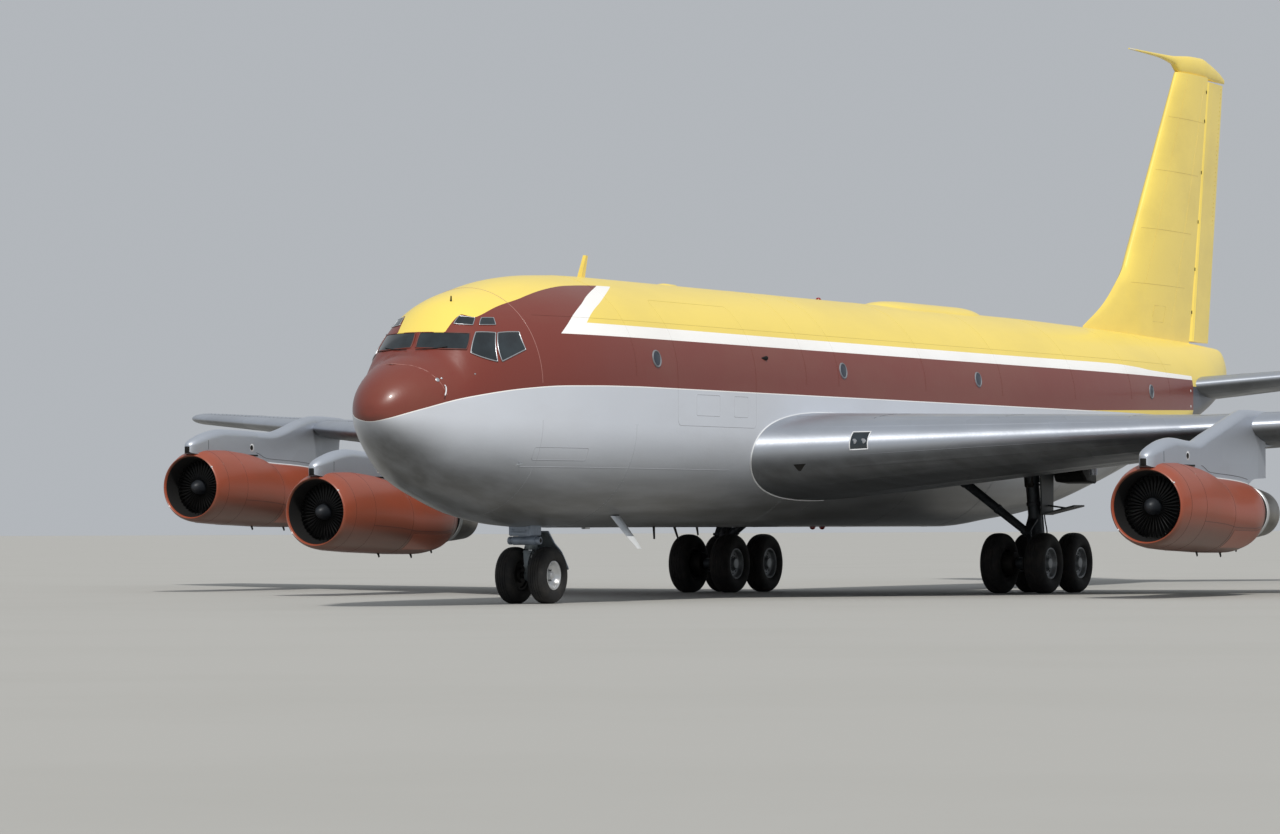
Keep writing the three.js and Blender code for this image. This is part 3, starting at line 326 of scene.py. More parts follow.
def worn_metal(name, code, roughness, metallic, dirt="#1E1B18", amount=0.5, size=0.12, bump=0.0006):
    """Machined, cast or forged metal under patches of grease or dust, with a grain of 11 mm."""
    material, tree, shader = new_material(name, Metallic=metallic, Roughness=roughness)
    colour = grime(tree, rgb(code), rgb(dirt), amount, size)
    tree.links.new(colour, shader.inputs["Base Color"])
    fine_grain(tree, shader, 90.0, 4.0, bump, 0.6)
    return material


def tyre_rubber():
    """Vulcanised carbon black rubber: matt, greyer where dust sits on it, with a grain of 6 mm."""
    material, tree, shader = new_material("tyre_rubber", Roughness=0.82, IOR=1.52)
    colour = grime(tree, rgb("#141415"), rgb("#3E3A35"), 0.55, 0.18)
    tree.links.new(colour, shader.inputs["Base Color"])
    fine_grain(tree, shader, 160.0, 3.0, 0.001, 0.5)
    return material


def cockpit_glass():
    """Laminated windshield glass, near black: painted shade of the flight deck behind it, with a sharp
    clean gloss.
    """
    material, tree, shader = new_material(
        "windshield_glass", Roughness=0.05, IOR=1.52, Coat_Weight=0.5, Coat_Roughness=0.03)
    colour = grime(tree, rgb("#141C21"), rgb("#2C383E"), 0.6, 0.35, low=0.4, high=0.7)
    tree.links.new(colour, shader.inputs["Base Color"])
    return material


def pale_floor():
    """A plain pale studio floor, very slightly mottled."""
    material, tree, shader = new_material("studio_floor", Roughness=0.9)
    colour = grime(tree, rgb("#ADACA8"), rgb("#A5A49F"), 0.5, 6.0)
    tree.links.new(colour, shader.inputs["Base Color"])
    return material


# Mesh building

def new_piece(name, points, faces, material, body, sharp_angle=40):
    """A mesh object in place, with its normals pointing out, riding on a body."""
    mesh = bpy.data.meshes.new(name)
    mesh.from_pydata([tuple(p) for p in points], [], faces)
    mesh.materials.append(material)
    form = bmesh.new()
    form.from_mesh(mesh)
    bmesh.ops.remove_doubles(form, verts=form.verts, dist=1e-5)
    bmesh.ops.recalc_face_normals(form, faces=form.faces)
    for face in form.faces:
        face.smooth = True
    limit = math.radians(sharp_angle)
    for edge in form.edges:
        if len(edge.link_faces) == 2 and edge.calc_face_angle(0) > limit:
            edge.smooth = False
    form.to_mesh(mesh)
    form.free()
    piece = bpy.data.objects.new(name, mesh)
    bpy.context.scene.collection.objects.link(piece)
    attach(piece, body)
    return piece


def lofted(rings):
    """Points and faces of a loft through closed rings, its ends closed by fans."""
    count = len(rings[0])
    points = [p for ring in rings for p in ring]
    faces = []
    for r in range(len(rings) - 1):
        for i in range(count):
            a, b = r * count + i, r * count + (i + 1) % count
            faces.append((a, b, b + count, a + count))
    for first in (0, (len(rings) - 1) * count):
        middle = sum((Vector(p) for p in points[first:first + count]), Vector()) / count
        points.append(tuple(middle))
        faces += [(first + i, first + (i + 1) % count, len(points) - 1) for i in range(count)]
    return points, faces


def joined(shapes):
    """Several (points, faces) shapes as one."""
    points, faces = [], []
    for more_points, more_faces in shapes:
        start = len(points)
        points += list(more_points)
        faces += [tuple(start + i for i in face) for face in more_faces]
    return points, faces


def mirrored(shape):
    points, faces = shape
    return [(-x, y, z) for x, y, z in points], [tuple(reversed(face)) for face in faces]


def basis_along(direction):
    """Two unit vectors across a direction."""
    forward = Vector(direction).normalized()
    side = forward.orthogonal().normalized()
    return side, forward.cross(side)


def circle(middle, radius, side, up, sides):
    """Points round a middle, in the plane of two unit vectors."""
    turns = [2 * math.pi * i / sides for i in range(sides)]
    return [tuple(middle + radius * (math.cos(t) * side + math.sin(t) * up)) for t in turns]


def lathe(start, end, rows, sides=28):
    """A closed round form about a line; rows are (distance from the start, radius)."""
    start = Vector(start)
    forward = (Vector(end) - start).normalized()
    side, up = basis_along(forward)
    return lofted([circle(start + distance * forward, radius, side, up, sides)
                   for distance, radius in rows])


def place(x, station, height):
    return (x, along(station), height)


def spindle(start, end, rows, sides=28):
    """A lathed form between two places, which are (x, station, height)."""
    return lathe(place(*start), place(*end), rows, sides)


def rod(start, end, radius, end_radius=None, sides=16):
    """A round bar between two places."""
    rows = ((0, radius), (math.dist(start, end), radius if end_radius is None else end_radius))
    return spindle(start, end, rows, sides)


def strap(route, cut=0.006):
    """A forged bar, its edges cut back; rows are (x, station, height, half width, half thickness)."""
    rings = []
    for i, (x, station, height, w, d) in enumerate(route):
        before, after = route[max(i - 1, 0)], route[min(i + 1, len(route) - 1)]
        run = Vector((0, after[1] - before[1], after[2] - before[2])).normalized()
        across = Vector((0, -run.z, run.y))
        middle = Vector(place(x, station, height))
        rings.append([tuple(middle + Vector((a, 0, 0)) + b * across) for a, b in (
            (w - cut, d), (w, d - cut), (w, cut - d), (w - cut, -d),
            (cut - w, -d), (-w, cut - d), (-w, d - cut), (cut - w, d))])
    return lofted(rings)


HOSE_SIDES = 8
HOSE_STEPS = 4


def hose(route, radius):
    """A round hose or pipe through a list of points, smoothed between them."""
    points = [Vector(p) for p in route]
    fine = []
    for i in range(len(points) - 1):
        before, after = points[max(i - 1, 0)], points[min(i + 2, len(points) - 1)]
        a, b = points[i], points[i + 1]
        for k in range(HOSE_STEPS):
            t = k / HOSE_STEPS
            fine.append(0.5 * ((2 * a) + (b - before) * t + (2 * before - 5 * a + 4 * b - after) * t * t
                               + (3 * a - before - 3 * b + after) * t ** 3))
    fine.append(points[-1])
    rings = []
    for i, at in enumerate(fine):
        side, up = basis_along(fine[min(i + 1, len(fine) - 1)] - fine[max(i - 1, 0)])
        rings.append(circle(at, radius, side, up, HOSE_SIDES))
    return lofted(rings)


def pipe(route, radius):
    """A hose through places."""
    return hose([place(*at) for at in route], radius)


def slab(low, high, bevel):
    """A block between two corner places, its long edges cut back by a bevel."""
    (x0, y0, z0), (x1, y1, z1) = place(*low), place(*high)
    rings = []
    for y, cut in ((y0, bevel), (y0 + bevel, 0), (y1 - bevel, 0), (y1, bevel)):
        left, right, foot, top = x0 + cut, x1 - cut, z0 + cut, z1 - cut
        rings.append([
            (left + bevel, y, foot), (right - bevel, y, foot), (right, y, foot + bevel),
            (right, y, top - bevel), (right - bevel, y, top), (left + bevel, y, top),
            (left, y, top - bevel), (left, y, foot + bevel)])
    return lofted(rings)


def turned(profile, centre, axis, segments=64):
    """A closed profile of (radius, distance along the axis) pairs turned about X or Y."""
    rings = []
    for i in range(segments):
        t = 2 * math.pi * i / segments
        ring = []
        for radius, distance in profile:
            a, b = radius * math.cos(t), radius * math.sin(t)
            offset = (distance, a, b) if axis == "X" else (a, distance, b)
            ring.append(tuple(c + o for c, o in zip(centre, offset)))
        rings.append(ring)
    count = len(profile)
    points = [p for ring in rings for p in ring]
    faces = []
    for i in range(segments):
        for k in range(count - 1):
            a, b = i * count + k, ((i + 1) % segments) * count + k
            faces.append((a, a + 1, b + 1, b))
    return points, faces


def monotone(xs, ys):
    """A smooth function through points that never overshoots them."""
    steps = [(ys[i + 1] - ys[i]) / (xs[i + 1] - xs[i]) for i in range(len(xs) - 1)]
    slopes = [steps[0]]
    for before, after in zip(steps, steps[1:]):
        slopes.append(0.0 if before * after <= 0 else 2 * before * after / (before + after))
    slopes.append(steps[-1])

    def value(x):
        i = 0
        while i < len(xs) - 2 and xs[i + 1] < x:
            i += 1
        h = xs[i + 1] - xs[i]
        t = min(max((x - xs[i]) / h, 0.0), 1.0)
        return (ys[i] * (1 + 2 * t) * (1 - t) ** 2 + h * slopes[i] * t * (1 - t) ** 2
                + ys[i + 1] * t * t * (3 - 2 * t) + h * slopes[i + 1] * t * t * (t - 1))
    return value


def between(rows, x):
    """A table row at x, straight between its neighbours; the first column is x."""
    i = 0
    while i < len(rows) - 2 and rows[i + 1][0] < x:
        i += 1
    t = (x - rows[i][0]) / (rows[i + 1][0] - rows[i][0])
    return [a + t * (b - a) for a, b in zip(rows[i], rows[i + 1])]


def spread(low, high, count):
    return [low + (high - low) * i / (count - 1) for i in range(count)]


# Fuselage: half an ellipse over the upper centre, half an ellipse under the lower one

# station, crown, belly, half width, upper centre, lower centre
FUSELAGE = (
    (0.0, 3.085, 3.005, 0.04, 3.05, 3.04), (0.05, 3.245, 2.845, 0.215, 3.055, 3.035),
    (0.2, 3.455, 2.625, 0.4, 3.065, 3.025), (0.5, 3.685, 2.365, 0.61, 3.095, 3.015),
    (0.9, 3.885, 2.085, 0.8, 3.135, 2.995), (1.29, 4.035, 1.855, 0.965, 3.185, 2.975),
    (1.48, 4.305, 1.785, 1.04, 3.215, 2.97), (2.11, 4.835, 1.615, 1.24, 3.335, 2.955),
    (3.05, 5.095, 1.395, 1.44, 3.495, 2.935), (3.93, 5.265, 1.285, 1.57, 3.605, 2.925),
    (4.84, 5.355, 1.245, 1.64, 3.685, 2.915), (6.4, 5.405, 1.239, 1.676, 3.729, 2.915),
    (21.0, 5.405, 1.239, 1.676, 3.729, 2.915), (22.7, 5.4, 1.355, 1.676, 3.729, 2.935),
    (24.6, 5.395, 1.515, 1.66, 3.745, 2.975), (27.2, 5.365, 1.995, 1.56, 3.825, 3.115),
    (29.5, 5.33, 2.515, 1.37, 3.935, 3.375), (31.5, 5.295, 3.005, 1.13, 4.075, 3.675),
    (33.5, 5.245, 3.515, 0.86, 4.285, 4.015), (35.3, 5.18, 3.965, 0.44, 4.515, 4.355),
    (36.0, 5.145, 4.155, 0.23, 4.615, 4.515), (36.3, 4.915, 4.245, 0.14, 4.575, 4.535),
    (36.42, 4.715, 4.375, 0.07, 4.555, 4.545),
)
FUSELAGE_LENGTH = 36.42
NOSE_ROUNDING = [math.sqrt(row[0]) for row in FUSELAGE]
FUSELAGE_CURVES = [monotone(NOSE_ROUNDING, [row[k] for row in FUSELAGE]) for k in range(1, 6)]
HALF_RING = 56
NOSE_SHARE = 0.18  # of the length: there the rings lie ever closer towards the tip
NOSE_RINGS = 70
TAIL_FROM = 34.5
MIDDLE_RINGS = 80
TAIL_RINGS = 22
MID_HEIGHT = 3.3
NORMAL_STEP = 0.01
WELL_HALF_WIDTH = 0.3
WELL_FRONT = 4.56
WELL_BACK = 5.5
WELL_ROOF = 1.755
WELL_SEARCH = (3.5, 6.5)
WELL_SEARCH_TOP = 2.0


def section(station):
    return [curve(math.sqrt(station)) for curve in FUSELAGE_CURVES]


def ring_point(station, angle):
    """The skin at a station and an angle up from port, past half a turn for the lower side."""
    crown, belly, half_width, upper, lower = section(station)
    c, s = math.cos(angle), math.sin(angle)
    height = upper + (crown - upper) * s if s >= 0 else lower + (lower - belly) * s
    return Vector((half_width * c, along(station), height))


def side_point(station, height, side=1):
    """The skin at a station and a height, on the port side (1) or the starboard side (-1)."""
    crown, belly, half_width, upper, lower = section(station)
    if height > upper:
        share = (height - upper) / (crown - upper)
    else:
        share = max(lower - height, 0.0) / (lower - belly)
    return Vector((side * half_width * math.sqrt(max(1 - share * share, 0.0)), along(station), height))


def lifted(surface, u, v, lift, away=None):
    """A point of a surface moved out along its normal, to the side that faces away from a point."""
    at = surface(u, v)
    along_u = surface(u + NORMAL_STEP, v) - surface(u - NORMAL_STEP, v)
    along_v = surface(u, v + NORMAL_STEP) - surface(u, v - NORMAL_STEP)
    normal = along_u.cross(along_v).normalized()
    if normal.dot(at - (away or Vector((0, at.y, MID_HEIGHT)))) < 0:
        normal = -normal
    return at + lift * normal


def fuselage_stations():
    nose = [FUSELAGE_LENGTH * NOSE_SHARE * (i / NOSE_RINGS) ** 2 for i in range(NOSE_RINGS + 1)]
    middle = spread(nose[-1], TAIL_FROM, MIDDLE_RINGS)[1:]
    tail = spread(TAIL_FROM, FUSELAGE_LENGTH, TAIL_RINGS)[1:]
    return nose + middle + tail


def fuselage_shape():
    rings = []
    for station in fuselage_stations():
        upper = [ring_point(station, math.pi * i / HALF_RING) for i in range(HALF_RING + 1)]
        lower = [ring_point(station, math.pi + math.pi * i / HALF_RING) for i in range(1, HALF_RING)]
        _, _, half_width, _, low = section(station)
        sides = [Vector((sign * half_width, along(station), low)) for sign in (-1, 1)]
        rings.append([tuple(p) for p in upper + [sides[0]] + lower + [sides[1]]])
    return lofted(rings)


def belly_faces(form, half_width, front, back):
    found = []
    for face in form.faces:
        x, y, z = face.calc_center_median()
        if z < WELL_SEARCH_TOP and abs(x) < half_width and along(front) < y < along(back):
            found.append(face)
    return found


def open_nose_well(piece):
    """Cuts the nose wheel bay into the belly and gives it walls and a roof."""
    form = bmesh.new()
    form.from_mesh(piece.data)
    planes = [((0, along(station), 0), (0, 1, 0)) for station in (WELL_FRONT, WELL_BACK)]
    planes += [((x, 0, 0), (1, 0, 0)) for x in (-WELL_HALF_WIDTH, WELL_HALF_WIDTH)]
    for at, normal in planes:
        near = belly_faces(form, math.inf, *WELL_SEARCH)
        edges = dict.fromkeys(e for f in near for e in f.edges)
        corners = dict.fromkeys(v for f in near for v in f.verts)
        bmesh.ops.bisect_plane(
            form, geom=[*near, *edges, *corners], dist=1e-6, plane_co=at, plane_no=normal)
    bay = belly_faces(form, WELL_HALF_WIDTH, WELL_FRONT, WELL_BACK)
    bmesh.ops.delete(form, geom=bay, context="FACES")
    rim = [e for e in form.edges if e.is_boundary]
    walls = bmesh.ops.extrude_edge_only(form, edges=rim)["geom"]
    for vertex in (g for g in walls if isinstance(g, bmesh.types.BMVert)):
        vertex.co.z = WELL_ROOF
    roof = [e for e in form.edges if e.is_boundary]
    bmesh.ops.contextual_create(form, geom=roof)
    bmesh.ops.recalc_face_normals(form, faces=form.faces)
    for edge in form.edges:
        if len(edge.link_faces) == 2 and edge.calc_face_angle(0) > math.radians(50):
            edge.smooth = False
    form.to_mesh(piece.data)
    form.free()


def make_fuselage(material):
    points, faces = fuselage_shape()
    piece = new_piece("fuselage_skin", points, faces, material, "airframe", sharp_angle=60)
    open_nose_well(piece)
    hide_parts("fuselage")


def fitted(name, shapes, material, slot, body="airframe", stands_for=(), sharp_angle=40):
    """Several shapes as one piece of one finish, riding on a body and standing for CAD nodes."""
    piece = new_piece(name, *joined(shapes), material, body, sharp_angle)
    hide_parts(*stands_for)


CROWN = 5.405
# raised fairing on the crown: station, height over the crown, half width
CROWN_FAIRING = (
    (17.85, -0.02, 0.12), (18.0, 0.02, 0.2), (18.3, 0.07, 0.42), (18.6, 0.093, 0.49),
    (19.0, 0.105, 0.52), (21.8, 0.105, 0.52), (22.1, 0.09, 0.48), (22.4, 0.06, 0.4),
    (22.75, -0.02, 0.12),
)
FAIRING_SINK = 0.15


def crown_arch(station, height, half_width, sink, steps):
    """Half an ellipse over the crown, its foot sunk under the skin."""
    return [(half_width * math.cos(t), along(station), CROWN - sink + (sink + height) * math.sin(t))
            for t in spread(0, math.pi, steps + 1)]


def make_crown_fairing(material):
    rings = [crown_arch(*between(CROWN_FAIRING, station), FAIRING_SINK, 24)
             for station in spread(CROWN_FAIRING[0][0], CROWN_FAIRING[-1][0], 60)]
    piece = new_piece("crown_fairing", *lofted(rings), material, "airframe")


# Flying surfaces

# x, leading edge station, chord, height, thickness as a share of the chord, incidence in degrees
WING = (
    (0.9, 9.14, 11.09, 2.515, 0.14, 1.0), (2.0, 10.2, 10.16, 2.575, 0.14, 1.0),
    (7.3, 15.33, 5.68, 2.915, 0.112, 1.0), (13.8, 20.26, 4.19, 3.325, 0.1, 0.5),
    (19.7, 24.79, 2.84, 3.695, 0.09, 0.0), (19.76, 25.15, 2.35, 3.7, 0.07, 0.0),
)
STABILISER = (
    (0.3, 31.35, 5.07, 4.15, 0.095, 0.0), (0.9, 31.95, 4.74, 4.225, 0.095, 0.0),
    (5.98, 36.98, 1.95, 4.855, 0.09, 0.0), (6.06, 37.22, 1.74, 4.86, 0.06, 0.0),
)
# height, leading edge station, chord, thickness
FIN = (
    (5.105, 29.55, 5.94, 0.085), (7.115, 30.92, 4.91, 0.095), (11.125, 33.7, 2.85, 0.095),
)
TRAILING_EDGE_HALF_THICKNESS = 0.006
# shares of the chord, closer towards the leading edge
NOSE_FRACTIONS = (
    0.0, 0.0008, 0.003, 0.008, 0.015, 0.025, 0.04, 0.06, 0.085, 0.12, 0.16, 0.21, 0.28, 0.36, 0.44,
    0.5, 0.58, 0.66)
WING_SKIN_BACK = 0.735
TAIL_SKIN_BACK = 0.7
WING_SKIN_FROM = 1.0
TAIL_SKIN_FROM = 0.35


def half_thickness(fraction, thickness, chord):
    """The four-digit aerofoil's half thickness, with a trailing edge that isn't sharp."""
    closed = 5 * thickness * chord * (
        0.2969 * math.sqrt(fraction) - 0.126 * fraction - 0.3516 * fraction ** 2
        + 0.2843 * fraction ** 3 - 0.1036 * fraction ** 4)
    return max(closed, 0.0) + TRAILING_EDGE_HALF_THICKNESS * fraction


def surface_ring(row, back):
    """The ring of a flying surface's forward part at one section, up to a chord fraction."""
    x, edge, chord, height, thickness, incidence = row
    fall = math.tan(math.radians(incidence))
    fractions = [f for f in NOSE_FRACTIONS[1:] if f < back - 0.01] + [back]
    upper, lower = (
        [(x, along(edge + f * chord),
          height - fall * f * chord + sign * (half_thickness(f, thickness, chord) + GAUGE))
         for f in fractions] for sign in (1, -1))
    return [(x, along(edge - GAUGE), height)] + upper + lower[::-1]


def surface_shape(rows, inner, back, sections):
    """The forward part of a port surface as a closed shell over its frame."""
    outer = rows[-1][0]
    xs = sorted(set(spread(inner, outer, sections) + [r[0] for r in rows if inner < r[0] < outer]))
    return lofted([surface_ring(between(rows, x), back) for x in xs])


def make_flying_surfaces(metal):
    wing = surface_shape(WING, WING_SKIN_FROM, WING_SKIN_BACK, 40)
    tail = surface_shape(STABILISER, TAIL_SKIN_FROM, TAIL_SKIN_BACK, 16)
    for name, shape in (("wing_skin", wing), ("stabiliser_skin", tail)):
        for side in ("left", "right"):
            form = shape if side == "left" else mirrored(shape)
            piece = new_piece(f"{name}_{side}", *form, metal, "airframe", sharp_angle=50)


HINGE_LOW = (34.26, 5.245)
HINGE_HIGH = (35.48, 11.055)
COVE_LOW = 0.21
COVE_HIGH = 0.115
# station, top, half width at the foot
DORSAL = (
    (28.4, 5.395, 0.025), (29.47, 5.885, 0.12), (30.39, 6.525, 0.215), (31.0, 7.055, 0.275),
    (31.6, 7.3, 0.29))
DORSAL_FOOT = 5.05
DORSAL_HOLLOW = 0.15  # share of the width that narrows straight, the rest as an ellipse
# station, low, high, half width
FIN_CAP = (
    (31.04, 11.385, 11.415, 0.015), (32.6, 11.365, 11.435, 0.045), (33.5, 11.285, 11.455, 0.075),
    (33.9, 11.105, 11.485, 0.105), (34.5, 11.1, 11.525, 0.135), (35.1, 11.095, 11.535, 0.135),
    (35.56, 11.095, 11.465, 0.11), (36.27, 11.095, 11.305, 0.06), (36.6, 11.095, 11.195, 0.025))
CAP_EDGE = 0.35  # share of the cap's width that is flat at its top and foot


def hinge_station(height):
    share = (height - HINGE_LOW[1]) / (HINGE_HIGH[1] - HINGE_LOW[1])
    return HINGE_LOW[0] + share * (HINGE_HIGH[0] - HINGE_LOW[0])


def smooth_rows(rows, count):
    """The rows of a table at even places, with smooth curves through its columns."""
    places = [row[0] for row in rows]
    curves = [monotone(places, [row[k] for row in rows]) for k in range(1, len(rows[0]))]
    return [[at] + [curve(at) for curve in curves] for at in spread(places[0], places[-1], count)]


def fin_shape():
    rings = []
    for height in spread(FIN[0][0], FIN[-1][0], 40):
        _, edge, chord, thickness = between(FIN, height)
        cove = COVE_LOW + (COVE_HIGH - COVE_LOW) * (height - FIN[0][0]) / (FIN[-1][0] - FIN[0][0])
        back = (hinge_station(height) - cove - edge) / chord
        fractions = [f for f in NOSE_FRACTIONS if f < 0.5] + spread(0.5, back, 4)
        side = [(half_thickness(f, thickness, chord), along(edge + f * chord), height)
                for f in fractions]
        rings.append(side + [(-x, y, z) for x, y, z in side[1:]][::-1])
    return lofted(rings)


def dorsal_shape():
    rings = []
    for station, top, half_width in smooth_rows(DORSAL, 40):
        side = []
        for share in spread(0.0, 1.0, 14):
            bulge = (1 - DORSAL_HOLLOW) * math.sqrt(1 - share * share)
            width = half_width * (bulge + DORSAL_HOLLOW * (1 - share))
            side.append((width, along(station), DORSAL_FOOT + (top - DORSAL_FOOT) * share))
        rings.append(side + [(-x, y, z) for x, y, z in side[:-1]][::-1])
    return lofted(rings)


def fin_cap_shape():
    """The tip cap, which runs forward into a probe; its sides are half ellipses between flat edges."""
    rings = []
    for station, low, high, half_width in smooth_rows(FIN_CAP, 90):
        side = []
        for angle in spread(-math.pi / 2, math.pi / 2, 14):
            width = half_width * (CAP_EDGE + (1 - CAP_EDGE) * math.cos(angle))
            side.append((width, along(station), (low + high) / 2 + (high - low) / 2 * math.sin(angle)))
        rings.append(side + [(-x, y, z) for x, y, z in side][::-1])
    return lofted(rings)


def make_fin(material):
    for name, shape in (
            ("fin_skin", fin_shape()), ("dorsal_fillet", dorsal_shape()), ("fin_cap", fin_cap_shape())):
        fitted(name, [shape], material, "fin_paint", stands_for=("fin",), sharp_angle=50)


# Engine pods

# name, x, inlet face station, height
ENGINES = (
    ("engine_1", 13.8, 15.82, 2.085), ("engine_2", 8.18, 11.47, 1.555),
    ("engine_3", -8.18, 11.47, 1.555), ("engine_4", -13.8, 15.82, 2.085),
)
# offset, top, bottom, half width
POD = (
    (0.06, 0.656, 0.668, 0.656), (0.15, 0.71, 0.69, 0.67), (0.35, 0.745, 0.712, 0.69),
    (0.9, 0.754, 0.742, 0.7), (1.4, 0.725, 0.758, 0.7), (1.85, 0.682, 0.772, 0.695),
    (2.25, 0.615, 0.785, 0.69), (2.5, 0.53, 0.79, 0.68), (2.65, 0.516, 0.792, 0.675),
    (3.5, 0.482, 0.797, 0.64), (4.0, 0.455, 0.745, 0.58), (4.4, 0.42, 0.635, 0.47),
)
POD_CURVES = [monotone([row[0] for row in POD], [row[k] for row in POD]) for k in (1, 2, 3)]
POD_RING = 72
# offset, radius: the inlet from the duct's end out to the skin
LIP = (
    (0.52, 0.538), (0.25, 0.575), (0.05, 0.598), (0.012, 0.608), (0.0, 0.622), (0.01, 0.637),
    (0.03, 0.648))
# the duct's two deepest rows of faces take the dark finish: painted shade
DARK_LIP_ROWS = 2
# depth inside the cowl's end and inset from its outline, then the radius that closes it
COWL_END = ((0.0, 0.009), (0.16, 0.014))
COWL_END_RADIUS = 0.41
# the core's line falls from here on aft by this share of the way
CORE_OFFSET = 0.52
CORE_DROP = 0.024
# offset, radius: the tailpipe, the nozzle's lip and inner wall, the cone inside it
CORE = (
    (4.1, 0.43), (4.45, 0.43), (4.475, 0.474), (4.485, 0.486), (4.565, 0.489), (4.58, 0.482),
    (4.59, 0.462), (4.9, 0.448), (5.3, 0.405), (5.315, 0.4))
NOZZLE = (
    (5.32, 0.394), (5.315, 0.386), (5.25, 0.365), (4.95, 0.35), (4.93, 0.19), (5.05, 0.15),
    (5.17, 0.07), (5.21, 0.012))
NOZZLE_OFFSET = 5.3
BRIGHT_RING = (4.475, 4.59)
ROTOR_OFFSET = 0.375


def pod_ring(engine, offset, top, bottom, half_width, drop=0.0):
    _, x, station, height = engine
    middle = (top - bottom) / 2 - drop
    ring = []
    for i in range(POD_RING):
        t = 2 * math.pi * i / POD_RING
        ring.append((x + half_width * math.cos(t), along(station + offset),
                     height + middle + (top + bottom) / 2 * math.sin(t)))
    return ring


def round_ring(engine, offset, radius, drop_at=CORE_OFFSET):
    return pod_ring(engine, offset, radius, radius, radius, CORE_DROP * (drop_at - CORE_OFFSET))


def make_cowl(engine, paint, dark):
    """Inlet duct, lip, outer skin and the dark ring round the tailpipe, in one skin; the duct's deep rows
    and that ring are painted shade.
    """
    duct = [round_ring(engine, offset, radius) for offset, radius in LIP]
    outer = [pod_ring(engine, offset, *(curve(offset) for curve in POD_CURVES))
             for offset in spread(POD[0][0], POD[-1][0], 60)]
    back = POD[-1][0]
    inside = [pod_ring(engine, back - depth, *(curve(back) - inset for curve in POD_CURVES))
              for depth, inset in COWL_END]
    inside.append(round_ring(engine, back - COWL_END[-1][0], COWL_END_RADIUS, back))
    shape = lofted(duct + outer + inside)
    piece = new_piece(f"{engine[0]}_cowl_skin", *shape, paint, "airframe", sharp_angle=55)
    piece.data.materials.append(dark)
    for face in piece.data.polygons:
        row = face.index // POD_RING
        if row < DARK_LIP_ROWS or row >= len(duct) + len(outer):
            face.material_index = 1
    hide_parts(f"{engine[0]}_cowl")


def make_tailpipe(engine, metal, bright, dark):
    """The pipe with its bright ring, the nozzle and the cone; dark where it runs inside the cowl: painted
    shade.
    """
    rings = [round_ring(engine, offset, radius, offset) for offset, radius in CORE]
    rings += [round_ring(engine, offset, radius, NOZZLE_OFFSET) for offset, radius in NOZZLE]
    piece = new_piece(f"{engine[0]}_tailpipe", *lofted(rings), metal, "airframe", sharp_angle=35)
    piece.data.materials.append(bright)
    piece.data.materials.append(dark)
    for face in piece.data.polygons:
        row = face.index // POD_RING
        if row < len(CORE) and CORE[row][0] < BRIGHT_RING[1]:
            face.material_index = 1 if CORE[row][0] >= BRIGHT_RING[0] else 2
    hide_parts(f"{engine[0]}_core")


# Pylons: offset, bottom, inner engine top, outer engine top, half width
PYLON = (
    (-0.11, 0.69, 0.86, 0.85, 0.05), (-0.05, 0.665, 0.91, 0.9, 0.1),
    (0.08, 0.65, 0.975, 0.96, 0.14), (0.35, 0.65, 1.055, 1.05, 0.168),
    (0.65, 0.58, 1.125, 1.115, 0.172), (1.05, 0.3, 1.165, 1.16, 0.17),
    (2.0, 0.3, 1.12, 1.145, 0.16), (2.69, 0.3, 1.275, 1.12, 0.156),
    (4.12, 0.3, 1.64, 1.435, 0.15), (4.4, 0.38, 1.7, 1.48, 0.147),
    (4.75, 0.49, 1.71, 1.49, 0.143), (5.4, 0.51, 1.705, 1.475, 0.11),
    (5.48, 0.53, 1.7, 1.47, 0.04), (5.56, 1.05, 1.7, 1.465, 0.035),
    (7.3, 1.15, 1.45, 1.25, 0.03),
)
PYLON_OFFSETS = [row[0] for row in PYLON]
PYLON_WIDTH = monotone(PYLON_OFFSETS, [row[4] for row in PYLON])
PYLON_NOSE = (-0.11, 0.1, 8)
PYLON_SHOULDER = 0.9  # height of the round crest, as a share of the half width
OUTER_ENGINE_X = 10.0


def make_pylon(engine, metal):
    name, x, station, height = engine
    column = 3 if abs(x) > OUTER_ENGINE_X else 2
    bottom, top = (monotone(PYLON_OFFSETS, [row[k] for row in PYLON]) for k in (1, column))
    even = spread(PYLON_OFFSETS[0], PYLON_OFFSETS[-1], 60)
    rings = []
    for offset in sorted({*even, *PYLON_OFFSETS, *spread(*PYLON_NOSE)}):
        width = PYLON_WIDTH(offset)
        low, high = height + bottom(offset), height + top(offset)
        shoulder = high - PYLON_SHOULDER * width
        ring = [place(x - width, station + offset, low), place(x + width, station + offset, low)]
        for t in spread(0, math.pi, 17):
            ring.append(place(
                x + width * math.cos(t), station + offset, shoulder + (high - shoulder) * math.sin(t)))
        rings.append(ring)
    fitted(f"{name}_pylon_skin", [lofted(rings)], metal, "bare_skin", stands_for=(f"{name}_pylon",),
           sharp_angle=50)


# Geometry Nodes: trees that repeat a shape or follow a path

def geometry_tree(name, **sizes):
    """A geometry tree with one named input for each size; returns it, its group input and its output."""
    tree = bpy.data.node_groups.new(name, "GeometryNodeTree")
    tree.interface.new_socket("Geometry", in_out="INPUT", socket_type="NodeSocketGeometry")
    for size, kind in sizes.items():
        tree.interface.new_socket(size, in_out="INPUT", socket_type=f"NodeSocket{kind}")
    tree.interface.new_socket("Finish", in_out="INPUT", socket_type="NodeSocketMaterial")
    tree.interface.new_socket("Geometry", in_out="OUTPUT", socket_type="NodeSocketGeometry")
    return tree, tree.nodes.new("NodeGroupInput").outputs, tree.nodes.new("NodeGroupOutput").inputs


